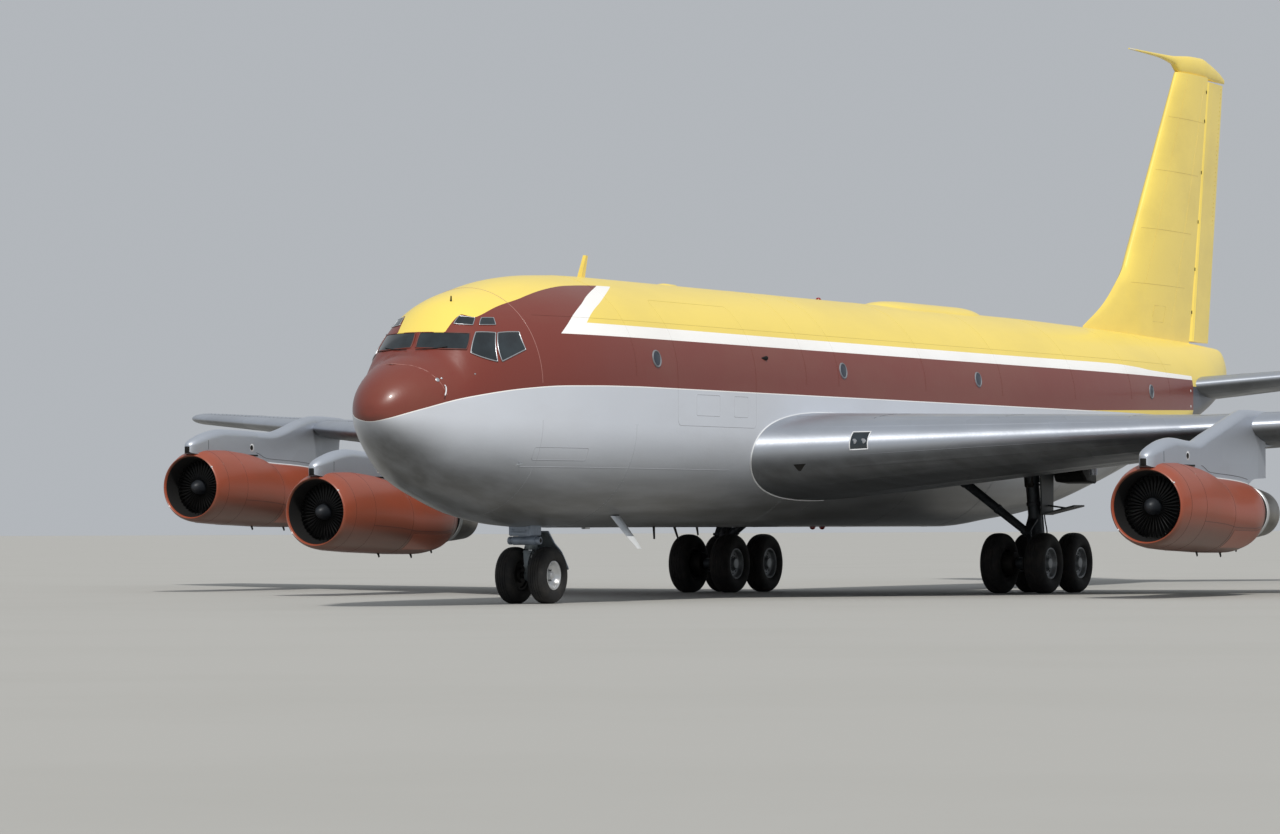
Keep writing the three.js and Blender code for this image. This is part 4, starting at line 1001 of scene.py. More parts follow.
def end_tree(tree, geometry, given, result):
    """Realizes the instances, smooths the faces and sets the finish."""
    real = add(tree, "GeometryNodeRealizeInstances", {"Geometry": geometry})
    smooth = add(tree, "GeometryNodeSetShadeSmooth", {"Geometry": real.outputs[0], "Shade Smooth": True})
    finish = add(tree, "GeometryNodeSetMaterial", {
        "Geometry": smooth.outputs[0], "Material": given["Finish"]})
    tree.links.new(finish.outputs[0], result["Geometry"])
    return tree


def bead_tree():
    """A round bead that follows the edges it is given."""
    tree, given, result = geometry_tree("bead", Radius="Float", Sides="Int")
    path = add(tree, "GeometryNodeMeshToCurve", {"Mesh": given["Geometry"]})
    profile = add(tree, "GeometryNodeCurvePrimitiveCircle", {
        "Resolution": given["Sides"], "Radius": given["Radius"]})
    bead = add(tree, "GeometryNodeCurveToMesh", {
        "Curve": path.outputs[0], "Profile Curve": profile.outputs[0], "Fill Caps": True})
    return end_tree(tree, bead.outputs[0], given, result)


def ring_tree():
    """Copies of a shape in a circle; its +X points away from the middle and +Z lies along the axis."""
    tree, given, result = geometry_tree(
        "ring", Count="Int", Radius="Float", Turn="Vector", Centre="Vector")
    circle = add(tree, "GeometryNodeMeshCircle", {"Vertices": given["Count"], "Radius": given["Radius"]})
    position = add(tree, "GeometryNodeInputPosition")
    facing = add(tree, "FunctionNodeAlignEulerToVector", {"Vector": position.outputs[0]},
                 axis="X", pivot_axis="Z")
    copies = add(tree, "GeometryNodeInstanceOnPoints", {
        "Points": circle.outputs[0], "Instance": given["Geometry"], "Rotation": facing.outputs[0]})
    placed = add(tree, "GeometryNodeTransform", {
        "Geometry": copies.outputs[0], "Translation": given["Centre"], "Rotation": given["Turn"]})
    return end_tree(tree, placed.outputs[0], given, result)


def row_tree():
    """A round-headed rivet at every step along the edges it is given."""
    tree, given, result = geometry_tree("row", Spacing="Float", Radius="Float")
    path = add(tree, "GeometryNodeMeshToCurve", {"Mesh": given["Geometry"]})
    steps = add(tree, "GeometryNodeResampleCurve", {
        "Curve": path.outputs[0], "Length": given["Spacing"]}, mode="LENGTH")
    head = add(tree, "GeometryNodeMeshUVSphere", {"Segments": 6, "Rings": 4, "Radius": given["Radius"]})
    heads = add(tree, "GeometryNodeInstanceOnPoints", {
        "Points": steps.outputs[0], "Instance": head.outputs[0]})
    return end_tree(tree, heads.outputs[0], given, result)


def by_nodes(name, tree, points, lines, faces, values, body, slot):
    """Runs a geometry tree on a host mesh and keeps the result as a plain mesh."""
    host = bpy.data.meshes.new(name)
    host.from_pydata([tuple(p) for p in points], lines, faces)
    piece = bpy.data.objects.new(name, host)
    bpy.context.scene.collection.objects.link(piece)
    modifier = piece.modifiers.new(name, "NODES")
    modifier.node_group = tree
    sockets = {item.name: item.identifier for item in tree.interface.items_tree
               if item.in_out == "INPUT"}
    for key, value in values.items():
        modifier[sockets[key]] = value
    graph = bpy.context.evaluated_depsgraph_get()
    mesh = bpy.data.meshes.new_from_object(piece.evaluated_get(graph), depsgraph=graph)
    piece.modifiers.remove(modifier)
    piece.data = mesh
    mesh.name = name
    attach(piece, body)
    return piece


def chained(paths):
    """Several open or closed paths as points and edges; a path that ends where it starts is closed."""
    points, lines = [], []
    for path in paths:
        path = [tuple(p) for p in path]
        closed = math.dist(path[0], path[-1]) < 1e-6
        if closed:
            path = path[:-1]
        start = len(points)
        points += path
        lines += [(start + i, start + i + 1) for i in range(len(path) - 1)]
        if closed:
            lines.append((len(points) - 1, start))
    return points, lines


# Lines and fittings on the fuselage skin

SEAM_RADIUS = 0.007
SEAM_SINK = 0.004
SEAM_STEP = 0.08
RING_STEPS = 120
RING_JOINTS = (5.62, 11.9, 13.2, 16.9, 20.4, 24.0, 27.2, 29.9)
# station, station and height of the lap joints along the sides
LAP_JOINTS = ((3.2, 30.5, 4.62), (2.6, 9.2, 2.2), (20.6, 27.0, 2.45))
# outlines of doors and hatches: stations, heights, corner radius, sides
DOORS = (
    (7.05, 9.93, 2.925, 5.015, 0.1, (1,)), (7.72, 8.57, 3.1, 3.45, 0.03, (1,)),
    (9.1, 9.62, 3.1, 3.45, 0.03, (1,)), (2.81, 4.2, 2.31, 2.51, 0.04, (1, -1)),
    (25.6, 26.5, 2.62, 3.45, 0.08, (1, -1)),
)
# station and height of the radome's pale edge, down each side as far as the brown paint goes
RADOME_EDGE = ((0.66, 3.79), (0.76, 3.76), (0.85, 3.68), (0.93, 3.5), (0.98, 3.3))
NOSE_JOINT = 2.935
NOSE_JOINT_ENDS = (0.03, math.pi - 0.03)
RIVET_SPACING = 0.07
RIVET_RADIUS = 0.0045
RIVET_OFFSET = 0.035


def skin_line(corners, side=1):
    """A path on the skin through (station, height) corners."""
    path = []
    for (s0, z0), (s1, z1) in zip(corners, corners[1:]):
        count = max(2, int(math.hypot(s1 - s0, z1 - z0) / SEAM_STEP))
        path += [(s0 + (s1 - s0) * i / count, z0 + (z1 - z0) * i / count) for i in range(count)]
    path.append(corners[-1])
    return [on_side(station, height, side, -SEAM_SINK) for station, height in path]


def on_side(station, height, side, lift):
    """A point over the skin at a station and a height, on one side."""
    return lifted(lambda s, z: side_point(s, z, side), station, height, lift)


def skin_ring(station, lift=-SEAM_SINK, low=0.0, high=2 * math.pi):
    return [lifted(ring_point, station, t, lift) for t in spread(low, high, RING_STEPS)]


def rounded_outline(s0, s1, z0, z1, corner):
    """A rectangle with round corners in station and height, closed."""
    outline = []
    for cs, cz, start in ((s1 - corner, z1 - corner, 0), (s0 + corner, z1 - corner, 90),
                          (s0 + corner, z0 + corner, 180), (s1 - corner, z0 + corner, 270)):
        for i in range(7):
            t = math.radians(start + 15 * i)
            outline.append((cs + corner * math.cos(t), cz + corner * math.sin(t)))
    return outline + [outline[0]]


def beads(name, bead, paths, radius, finish, slot, sides=6):
    """Round beads along paths on the airframe."""
    values = {"Radius": radius, "Sides": sides, "Finish": finish}
    return by_nodes(name, bead, *chained(paths), [], values, "airframe", slot)


def make_fuselage_seams(joint, pale_joint, livery, bead, row):
    paths = [skin_ring(station) for station in RING_JOINTS] + [skin_ring(NOSE_JOINT, low=math.pi)]
    for side in (1, -1):
        paths += [skin_line(((s0, z), (s1, z)), side) for s0, s1, z in LAP_JOINTS]
    for s0, s1, z0, z1, corner, sides in DOORS:
        paths += [skin_line(rounded_outline(s0, s1, z0, z1, corner), side) for side in sides]
    beads("fuselage_joints", bead, paths, SEAM_RADIUS, joint, "fuselage_paint")
    low, high = NOSE_JOINT_ENDS
    nose = [skin_ring(NOSE_JOINT, low=low, high=high)]
    nose += [skin_line(RADOME_EDGE, side) for side in (1, -1)]
    beads("nose_joint", bead, nose, SEAM_RADIUS, pale_joint, "fuselage_paint")
    rows = [skin_ring(station + offset, 0.0)
            for station in RING_JOINTS for offset in (-RIVET_OFFSET, RIVET_OFFSET)]
    by_nodes("rivet_rows", row, *chained(rows), [], {
        "Spacing": RIVET_SPACING, "Radius": RIVET_RADIUS, "Finish": livery},
        "airframe", "fuselage_paint")


PORTHOLES = (6.34, 13.42, 19.31, 28.54)
PORTHOLE_HEIGHT = 4.005
# distance over the pane's foot, radius
PORTHOLE_PANE = ((0, 0.115), (0.025, 0.115), (0.029, 0.09))
PORTHOLE_RIM = (
    (0.0, 0.118), (0.026, 0.118), (0.036, 0.126), (0.036, 0.138), (0.024, 0.148), (0.0, 0.148))


def skin_frame(station, height, side, depth=0.02):
    """A point under the skin and one over it on the same normal."""
    return on_side(station, height, side, -depth), on_side(station, height, side, depth)


def make_portholes(glass, metal):
    panes, rims = [], []
    for station in PORTHOLES:
        for side in (1, -1):
            low, high = skin_frame(station, PORTHOLE_HEIGHT, side)
            panes.append(lathe(low, high, PORTHOLE_PANE, 32))
            rims.append(lathe(low, high, PORTHOLE_RIM, 32))
    fitted("portholes", panes, glass, "glazing")
    fitted("porthole_rims", rims, metal, "bare_skin")


# Swept mast under the belly: share of its length, half chord, half thickness
MAST = ((0.0, 0.165, 0.024), (0.3, 0.15, 0.02), (0.62, 0.13, 0.016), (1.0, 0.075, 0.01))
MAST_ROOT = Vector(place(0.79, 6.47, 1.43))
MAST_TIP = Vector(place(1.04, 6.86, 0.885))
MAST_WHITE_FROM = 0.62
# x, station, height, which way its dome points
BEACONS = ((0.0, 15.54, 1.239, -1), (0.0, 15.94, 1.239, -1), (0.0, 15.83, 5.405, 1))
BEACON = ((-0.02, 0.06), (0.01, 0.06), (0.012, 0.05), (0.03, 0.045), (0.045, 0.028), (0.05, 0.01))
# station and heights of the white dots at the tail
TAIL_DOTS = (31.63, (3.77, 4.1))
TAIL_DOT = ((0, 0.028), (0.024, 0.028), (0.028, 0.02))
# station, height, radius
NOSE_PORTS = ((0.908, 3.535, 0.035), (0.99, 3.56, 0.018), (1.537, 3.635, 0.013))
NOSE_PIPE = ((0.765, 0.99, 3.45), (0.8, 0.965, 3.42), (0.825, 0.93, 3.36), (0.835, 0.88, 3.29))
# pitot tube: station and height of its foot, then its bends as steps out, along Y and up
PITOT_FOOT = (2.56, 2.26)
PITOT_STEPS = ((0.03, 0, 0), (0.05, -0.06, -0.01), (0.055, -0.22, -0.02))
# small masts under the belly: root and tip as (x, station, height, half width, half thickness)
SMALL_MASTS = (
    ((0.2, 8.95, 1.27, 0.012, 0.03), (0.2, 8.97, 1.04, 0.009, 0.022)),
    ((-0.25, 10.55, 1.27, 0.012, 0.03), (-0.25, 10.72, 1.02, 0.009, 0.02)),
    ((0, 10.93, 1.26, 0.012, 0.03), (0, 10.98, 1.1, 0.008, 0.02)),
)
SCOOP = (10.31, 4.135)  # station and height
# station, height over the crown, half width
BLISTER = (
    (9.5, -0.01, 0.05), (9.58, 0.02, 0.12), (9.7, 0.035, 0.15), (10.0, 0.03, 0.14),
    (10.12, -0.01, 0.06))
BLISTER_SINK = 0.03


def mast_shape(low, high):
    rings = []
    for share in spread(low, high, 8):
        _, chord, thick = between(MAST, share)
        middle = MAST_ROOT + share * (MAST_TIP - MAST_ROOT)
        rings.append([tuple(middle + Vector((thick * math.sin(t), chord * math.cos(t), 0)))
                      for t in (2 * math.pi * i / 20 for i in range(20))])
    return lofted(rings)


def make_fittings(dark, pale, bright, red, livery):
    """Probes, masts, beacons and ports on the fuselage."""
    fitted("belly_mast", [mast_shape(0.0, MAST_WHITE_FROM)], bright, "bare_skin")
    small = [
        mast_shape(MAST_WHITE_FROM, 1.0),
        pipe(NOSE_PIPE, 0.011),
        rod((0, 31.045, 11.4), (0, 31.55, 11.4), 0.0165, 0.024),
    ]
    dot_station, dot_heights = TAIL_DOTS
    for height in dot_heights:
        for side in (1, -1):
            small.append(lathe(*skin_frame(dot_station, height, side), TAIL_DOT, 16))
    fitted("white_tips", small, pale, "bare_skin")
    ports = []
    for station, height, radius in NOSE_PORTS:
        for side in (1, -1):
            rows = ((0, radius), (0.024, radius), (0.028, 0.7 * radius))
            ports.append(lathe(*skin_frame(station, height, side), rows, 20))
    for side in (1, -1):
        low, high = skin_frame(*PITOT_FOOT, side, 0.03)
        ports.append(hose([low] + [high + Vector((side * out, y, z)) for out, y, z in PITOT_STEPS], 0.014))
    fitted("probes_and_ports", ports, bright, "bare_skin")
    black = [rod((0.215, 2.126, 4.8), (0.22, 2.12, 4.9), 0.016, 0.01)]
    black += [strap(route, 0.004) for route in SMALL_MASTS]
    for side in (1, -1):
        low, high = skin_frame(*SCOOP, side, 0.012)
        rows = ((0, 0.004), (0.19, 0.04))
        black.append(lathe(low + Vector((0, -0.1, 0)), high + Vector((0, 0.09, 0)), rows, 16))
    fitted("dark_fittings", black, dark, "bare_skin")
    domes = [spindle((x, station, height), (x, station, height + up), BEACON, 24)
             for x, station, height, up in BEACONS]
    fitted("beacons", domes, red, "glazing")
    blister = [crown_arch(*row, BLISTER_SINK, 12) for row in BLISTER]
    fitted("crown_blister", [lofted(blister)], livery, "fuselage_paint")
    pad = spindle((0, 6.9, 1.3), (0, 6.9, 1.214), ((0, 0.07), (0.078, 0.07), (0.086, 0.064)), 32)
    fitted("nose_jack_pad", [pad], bright, "bare_skin")


# Cockpit glazing

# windshield, corner pane, side pane, front and rear eyebrow windows: port corners as (distance
# aside, height) from the forward upper one round, radius of the frame's bead, finish of the frame
PANES = (
    (((0.035, 4.3), (0.765, 4.285), (0.82, 4.015), (0.035, 4.052)), 0.01, "paint"),
    (((0.805, 4.305), (0.985, 4.305), (1.135, 3.83), (0.865, 3.965)), 0.01, "metal"),
    (((0.995, 4.305), (1.13, 4.33), (1.262, 4.045), (1.16, 3.835)), 0.01, "metal"),
    (((0.5, 4.565), (0.7, 4.535), (0.735, 4.415), (0.49, 4.435)), 0.007, "metal"),
    (((0.755, 4.54), (0.855, 4.545), (0.93, 4.43), (0.795, 4.42)), 0.007, "metal"),
)
PANE_STEPS = 18
PANE_ROUNDING = 0.06
PANE_PROUD = 0.008
PANE_DEPTH = 0.02
WIPER_PROUD = 0.018
WIPER_RADIUS = 0.006
WIPER = ((0.08, 4.015), (0.22, 4.02), (0.4, 4.035), (0.56, 4.06))
NOSE_SEARCH = (0.3, 6.0)


def skin_at(x, height):
    """Station and angle of the nose's skin where it is x wide at a height."""
    low, high = NOSE_SEARCH
    while high - low > 1e-5:
        middle = (low + high) / 2
        if side_point(middle, height).x < x:
            low = middle
        else:
            high = middle
    crown, _, half_width, upper, _ = section(high)
    return high, math.atan2((height - upper) / (crown - upper), x / half_width)


def along_edge(first, second, share):
    """The point at a share of the way between two points of a plane."""
    return tuple(a + share * (b - a) for a, b in zip(first, second))


def pane_grid(corners, side):
    """Points of a pane on the skin, as rows of (station, angle), with slightly round corners."""
    grid = []
    for v in spread(-1, 1, PANE_STEPS + 1):
        row = []
        for u in spread(-1, 1, PANE_STEPS + 1):
            a = (1 + u * math.sqrt(1 - PANE_ROUNDING * v * v)) / 2
            b = (1 + v * math.sqrt(1 - PANE_ROUNDING * u * u)) / 2
            top = along_edge(corners[0], corners[1], a)
            low = along_edge(corners[3], corners[2], a)
            station, angle = skin_at(*along_edge(top, low, b))
            row.append((station, angle if side > 0 else math.pi - angle))
        grid.append(row)
    return grid


def patch_shape(surface, grid, proud, depth, away=None):
    """A closed patch that follows a surface, its inner face under it; also the outer face's rim."""
    rows, size = len(grid), len(grid[0])
    outer = [lifted(surface, u, v, proud, away) for row in grid for u, v in row]
    inner = [lifted(surface, u, v, -depth, away) for row in grid for u, v in row]
    faces = []
    for r in range(rows - 1):
        for c in range(size - 1):
            a = r * size + c
            quad = (a, a + 1, a + size + 1, a + size)
            faces.append(quad)
            faces.append(tuple(i + rows * size for i in reversed(quad)))
    rim = (list(range(size)) + [r * size + size - 1 for r in range(1, rows)]
           + [rows * size - 1 - c for c in range(1, size)] + [r * size for r in range(rows - 2, 0, -1)])
    for a, b in zip(rim, rim[1:] + rim[:1]):
        faces.append((a, b, b + rows * size, a + rows * size))
    return outer + inner, faces, [outer[i] for i in rim]


def make_glazing(glass, finishes, bead):
    shapes, frames = [], {}
    for corners, radius, finish in PANES:
        for side in (1, -1):
            grid = pane_grid(corners, side)
            points, faces, rim = patch_shape(ring_point, grid, PANE_PROUD, PANE_DEPTH)
            shapes.append((points, faces))
            frames.setdefault((finish, radius), []).append(rim + rim[:1])
    fitted("cockpit_glass", shapes, glass, "glazing", stands_for=("cockpit_windows",), sharp_angle=50)
    for index, ((finish, radius), paths) in enumerate(sorted(frames.items())):
        beads(f"window_frames_{index + 1}", bead, paths, radius, finishes[finish], "bare_skin", 8)
    wipers = []
    for side in (1, -1):
        route = []
        for x, height in WIPER:
            station, angle = skin_at(x, height)
            turn = angle if side > 0 else math.pi - angle
            route.append(lifted(ring_point, station, turn, WIPER_PROUD))
        wipers.append(hose(route, WIPER_RADIUS))
    piece = new_piece("wipers", *joined(wipers), finishes["dark"], "airframe")


# Compressor faces

BLADE_COUNT = 38
BLADE_ROOT = 0.15
BLADE_TIP = 0.518
BLADE_HALF_THICKNESS = 0.0045
# share of the blade's length, half chord, turn in degrees
BLADE_STATIONS = ((0.0, 0.034, 28), (0.3, 0.033, 36), (0.65, 0.032, 46), (1.0, 0.03, 55))
# radius, distance aft of the blades' plane
BULLET = (
    (0.0, -0.285), (0.025, -0.281), (0.05, -0.268), (0.076, -0.243), (0.1, -0.208), (0.12, -0.165),
    (0.137, -0.11), (0.147, -0.055), (0.15, -0.02), (0.15, 0.045), (0.06, 0.05), (0.06, 0.25),
    (0.0, 0.25))
ABOUT_Y = (-math.pi / 2, 0.0, 0.0)


def blade_shape():
    """One compressor blade along +X from the ring's radius, twisted from root to tip."""
    rings = []
    for share, half_chord, turn in BLADE_STATIONS:
        t = math.radians(turn)
        ring = []
        for along_chord, across in ((-1, 0), (0, 1), (1, 0), (0, -1)):
            a, thick = along_chord * half_chord, across * BLADE_HALF_THICKNESS
            ring.append((share * (BLADE_TIP - BLADE_ROOT), a * math.sin(t) + thick * math.cos(t),
                         a * math.cos(t) - thick * math.sin(t)))
        rings.append(ring)
    return lofted(rings)


def make_rotor(engine, blade_metal, cone_metal, ring):
    name, x, station, height = engine
    body = f"rotor_{name[-1]}"
    centre = (x, along(station + ROTOR_OFFSET), height)
    points, faces = blade_shape()
    blades = by_nodes(f"{name}_blades", ring, points, [], faces, {
        "Count": BLADE_COUNT, "Radius": BLADE_ROOT, "Turn": ABOUT_Y, "Centre": centre,
        "Finish": blade_metal}, body, "rotor_metal")
    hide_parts(f"{name}_rotor")
    fitted(f"{name}_bullet", [turned(BULLET, centre, "Y", 48)], cone_metal, "rotor_metal", body,
           (f"{name}_rotor",))


# Wheels

MAIN_X = 3.229
BOGIE_STATION = 18.38
HALF_WHEELBASE = 0.706
NOSE_AXLE = (0.0, along(5.05), 0.46097)
# outer radius, rim radius, width, half the distance between the twins, axle radius
NOSE_WHEEL = (0.468, 0.24, 0.32, 0.305, 0.055)
MAIN_WHEEL = (0.56, 0.29, 0.39, 0.44, 0.065)
GROOVE_SHARES = (0.07, 0.2)
GROOVE_HALF_SHARE = 0.013
GROOVE_DEPTH = 0.011
TREAD_ROUNDNESS = 2.6  # exponent of the tread's outline: 2 would be an ellipse
RIM_HALF_SHARE = 0.36  # half the distance between a rim's faces, as a share of the tyre's width
CONTACT = 0.0008  # how far the flattened tread stays over the floor


def tyre_profile(radius, rim, width):
    """A tyre's closed section: bead, bulging side wall, grooved tread and back again, as (radius, x)."""
    waist = rim + 0.42 * (radius - rim)
    wall = [(rim, 0.345 * width), (rim + 0.004, 0.37 * width), (rim + 0.018, 0.39 * width)]
    for share in spread(0.25, 0.9, 6):
        bulge = 0.385 + 0.115 * math.sin(math.pi / 2 * share)
        wall.append((rim + (waist - rim) * share, width * bulge))
    bare = [0.5, 0.4985, 0.494, 0.485, 0.47, 0.45, 0.42, 0.385, 0.345, 0.3, 0.26]
    outline = [(share, 0.0) for share in bare]
    for centre in reversed(GROOVE_SHARES):
        g = GROOVE_HALF_SHARE
        outline += [(centre + g, 0.0), (centre + 0.6 * g, GROOVE_DEPTH),
                    (centre - 0.6 * g, GROOVE_DEPTH), (centre - g, 0.0)]
    for share, depth in outline:
        rise = (1 - min(2 * share, 1.0) ** TREAD_ROUNDNESS) ** (1 / TREAD_ROUNDNESS)
        wall.append((waist + (radius - waist) * rise - depth, share * width))
    return wall + [(r, -x) for r, x in reversed(wall)] + wall[:1]


def tyre_shape(wheel, centre, side):
    radius, rim, width, spacing, _ = wheel
    x, y, z = centre
    points, faces = turned(tyre_profile(radius, rim, width), (x + side * spacing, y, z), "X", 72)
    return [(px, py, max(pz, CONTACT)) for px, py, pz in points], faces


def rim_rows(inner, outer, spacing, rim):
    """The rim from its inner face out to its outer face, with a small flange at each."""
    return [(rim - 0.004, inner - 0.006), (rim, inner + 0.004), (rim - 0.002, spacing),
            (rim, outer - 0.004), (rim - 0.003, outer + 0.006)]


def rim_faces(wheel):
    _, _, width, spacing, _ = wheel
    return spacing - RIM_HALF_SHARE * width, spacing + RIM_HALF_SHARE * width


def nose_hub_profile(wheel):
    """From the middle of the axle out: a bright dish with a raised hub cap."""
    _, rim, _, spacing, axle = wheel
    inner, outer = rim_faces(wheel)
    return [
        (axle, 0.0), (axle, inner - 0.03), (0.11, inner - 0.03), (0.125, inner + 0.01),
        (rim - 0.05, inner + 0.02), (rim - 0.035, inner - 0.006),
        *rim_rows(inner, outer, spacing, rim),
        (rim - 0.018, outer + 0.008), (rim - 0.03, outer), (rim - 0.042, outer - 0.03),
        (rim - 0.062, outer - 0.07), (0.145, outer - 0.095), (0.105, outer - 0.1),
        (0.075, outer - 0.092), (0.066, outer - 0.07), (0.062, outer - 0.028), (0.05, outer - 0.015),
        (0.02, outer - 0.012), (0.0, outer - 0.012)]


def main_hub_profile(wheel):
    """From the middle of the axle out: a deeper wheel with a wide hub."""
    _, rim, _, spacing, axle = wheel
    inner, outer = rim_faces(wheel)
    return [
        (axle, 0.0), (axle, inner - 0.02), (0.12, inner - 0.02), (0.14, inner + 0.06),
        (rim - 0.03, inner + 0.06), (rim - 0.025, inner - 0.006),
        *rim_rows(inner, outer, spacing, rim),
        (rim - 0.02, outer + 0.008), (rim - 0.033, outer), (rim - 0.045, outer - 0.04),
        (rim - 0.06, outer - 0.065), (0.16, outer - 0.085), (0.12, outer - 0.08),
        (0.105, outer - 0.06), (0.1, outer - 0.012), (0.088, outer - 0.002), (0.03, outer),
        (0.0, outer)]


def flat_rings(rows, corners):
    """A loft of regular polygons about Z through (height, radius) rows."""
    turns = [2 * math.pi * i / corners for i in range(corners)]
    return lofted([[(r * math.cos(t), r * math.sin(t), z) for t in turns] for z, r in rows])


def bolt_shape(radius, height):
    """A hexagon bolt head along +Z from the ring's plane."""
    return flat_rings(((-0.004, radius), (height * 0.7, radius), (height, 0.8 * radius)), 6)


def hole_shape(radius):
    """A round pocket with a raised lip, seen along Z; drawn dark, it is the painted shade of a lightening
    hole.
    """
    return flat_rings(
        ((-0.004, radius), (0.0025, radius), (0.0025, 0.8 * radius), (0.0005, 0.75 * radius)), 12)


def make_wheel_pair(name, wheel, centre, body, tyres, hubs, profile, finishes, ring, bolts):
    """Two tyres and the hub pair on its axle, with a ring of bolts and lightening holes in each face; the
    holes and the hubs' faces between the tyres take a dark finish as painted shade.
    """
    rubber, alloy, dark = finishes
    spacing = wheel[3]
    x, y, z = centre
    for node, side in tyres:
        shape = tyre_shape(wheel, centre, side)
        fitted(f"{node}_rubber", [shape], rubber, "tyre_rubber", body, (node,), sharp_angle=45)
    half = profile(wheel)
    whole = [(r, -d) for r, d in reversed(half)] + half[1:]
    shape = turned(whole, centre, "X", 56)
    piece = new_piece(f"{name}_hub_pair", *shape, alloy, body, sharp_angle=32)
    # the hub faces between the twin wheels take the dark finish: painted shade
    piece.data.materials.append(dark)
    for face in piece.data.polygons:
        if abs(face.center.x - x) < spacing:
            face.material_index = 1
    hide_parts(hubs)
    _, outer = rim_faces(wheel)
    bolt_radius, bolt_depth, hole_count, hole_ring, hole_radius, hole_depth = bolts
    for side in (1, -1):
        tag = "left" if side > 0 else "right"
        turn = (0.0, side * math.pi / 2, 0.0)
        for what, (points, faces), count, circle_radius, depth in (
                ("bolts", bolt_shape(0.011, 0.016), 12, bolt_radius, bolt_depth),
                ("holes", hole_shape(hole_radius), hole_count, hole_ring, hole_depth)):
            middle = (x + side * (outer - depth), y, z)
            by_nodes(f"{name}_{what}_{tag}", ring, points, [], faces, {
                "Count": count, "Radius": circle_radius, "Turn": turn, "Centre": middle,
                "Finish": dark}, body, "wheel_metal")


# bolt circle radius and depth, number of holes, their circle, radius and depth
NOSE_BOLTS = (0.088, 0.098, 8, 0.125, 0.014, 0.098)
MAIN_BOLTS = (0.135, 0.082, 9, 0.195, 0.022, 0.076)
AXLE_HEIGHT = 0.5512


def make_wheels(rubber, bright, grey, dark, ring):
    make_wheel_pair(
        "nose", NOSE_WHEEL, NOSE_AXLE, "nose_wheels", (("nose_tyre_left", 1), ("nose_tyre_right", -1)),
        "nose_hubs", nose_hub_profile, (rubber, bright, dark), ring, NOSE_BOLTS)
    for tag, side in (("left", 1), ("right", -1)):
        for row, sign in (("front", -1), ("rear", 1)):
            centre = place(side * MAIN_X, BOGIE_STATION + sign * HALF_WHEELBASE, AXLE_HEIGHT)
            tyres = ((f"{row}_outer_tyre_{tag}", side), (f"{row}_inner_tyre_{tag}", -side))
            make_wheel_pair(
                f"{row}_{tag}", MAIN_WHEEL, centre, f"{tag}_{row}_wheels", tyres, f"{row}_hubs_{tag}",
                main_hub_profile, (rubber, grey, dark), ring, MAIN_BOLTS)


# Lines and fittings on the wings, the tail and the pods

LINE_RADIUS = 0.0045
LINE_SINK = -0.001
LINES_FROM = 0.32  # root of the chord fraction where the joints across begin
WING_JOINTS_ACROSS = (2.9, 4.6, 6.4, 9.6, 11.2, 12.6, 15.2, 17.4)
TAIL_JOINTS_ACROSS = (1.6, 2.9, 4.3)
JOINTS_ALONG = (0.12, 0.38, 0.6)
SPOILER_EDGES = (3.4, 5.2, 7.0, 9.1, 10.9, 12.7)
SPOILER_CHORD = (0.62, 0.73)
PATCH_STEPS = 8
LAMP_PANEL_X = (2.89, 3.125)
LAMP_PANEL_Q = (-0.04, 0.13)
LAMPS_X = (2.95, 3.065)
LAMP = ((0, 0.045), (0.03, 0.045), (0.034, 0.03), (0.03, 0.0))
INTAKE = ((2.1, -0.14), (2.26, -0.14), (2.13, -0.2), (2.1, -0.2))
ROOT_SEAL = (0.8, -0.62, 60)
GENERATORS = (14.4, 19.2, 26)
GENERATOR_Q = 0.36
# a vortex generator: shares of its half length and heights, from the foot's front round
GENERATOR = ((-1, -0.004), (1, -0.004), (0.9, 0.022), (-0.2, 0.022))
GENERATOR_HALF_LENGTH = 0.03
GENERATOR_HALF_THICKNESS = 0.001
GENERATOR_RUN = Vector((0.012, 0.05, 0)).normalized()
# x, station, height, half width, half thickness
UNDERWING_BOX = (
    (3.74, 18.7, 2.32, 0.3, 0.12), (3.74, 18.85, 2.22, 0.32, 0.17), (3.74, 19.3, 2.2, 0.3, 0.18),
    (3.74, 19.42, 2.3, 0.22, 0.1))


def surface_point(rows, x, q, lift=GAUGE):
    """A surface's skin at a distance aside; q squared is the chord fraction, below where negative."""
    _, edge, chord, height, thickness, incidence = between(rows, x)
    f = q * q
    rise = math.copysign(half_thickness(f, thickness, chord) + lift, q)
    fall = math.tan(math.radians(incidence)) * f * chord
    return Vector(place(x, edge + f * chord, height - fall + rise))


def wing_point(x, q):
    return surface_point(WING, x, q)


def fin_point(height, fraction, lift=LINE_SINK):
    _, edge, chord, thickness = between(FIN, height)
    half = half_thickness(fraction, thickness, chord)
    return Vector(place(half + lift, edge + fraction * chord, height))


def both_sides(paths):
    return paths + [[(-x, y, z) for x, y, z in path] for path in paths]


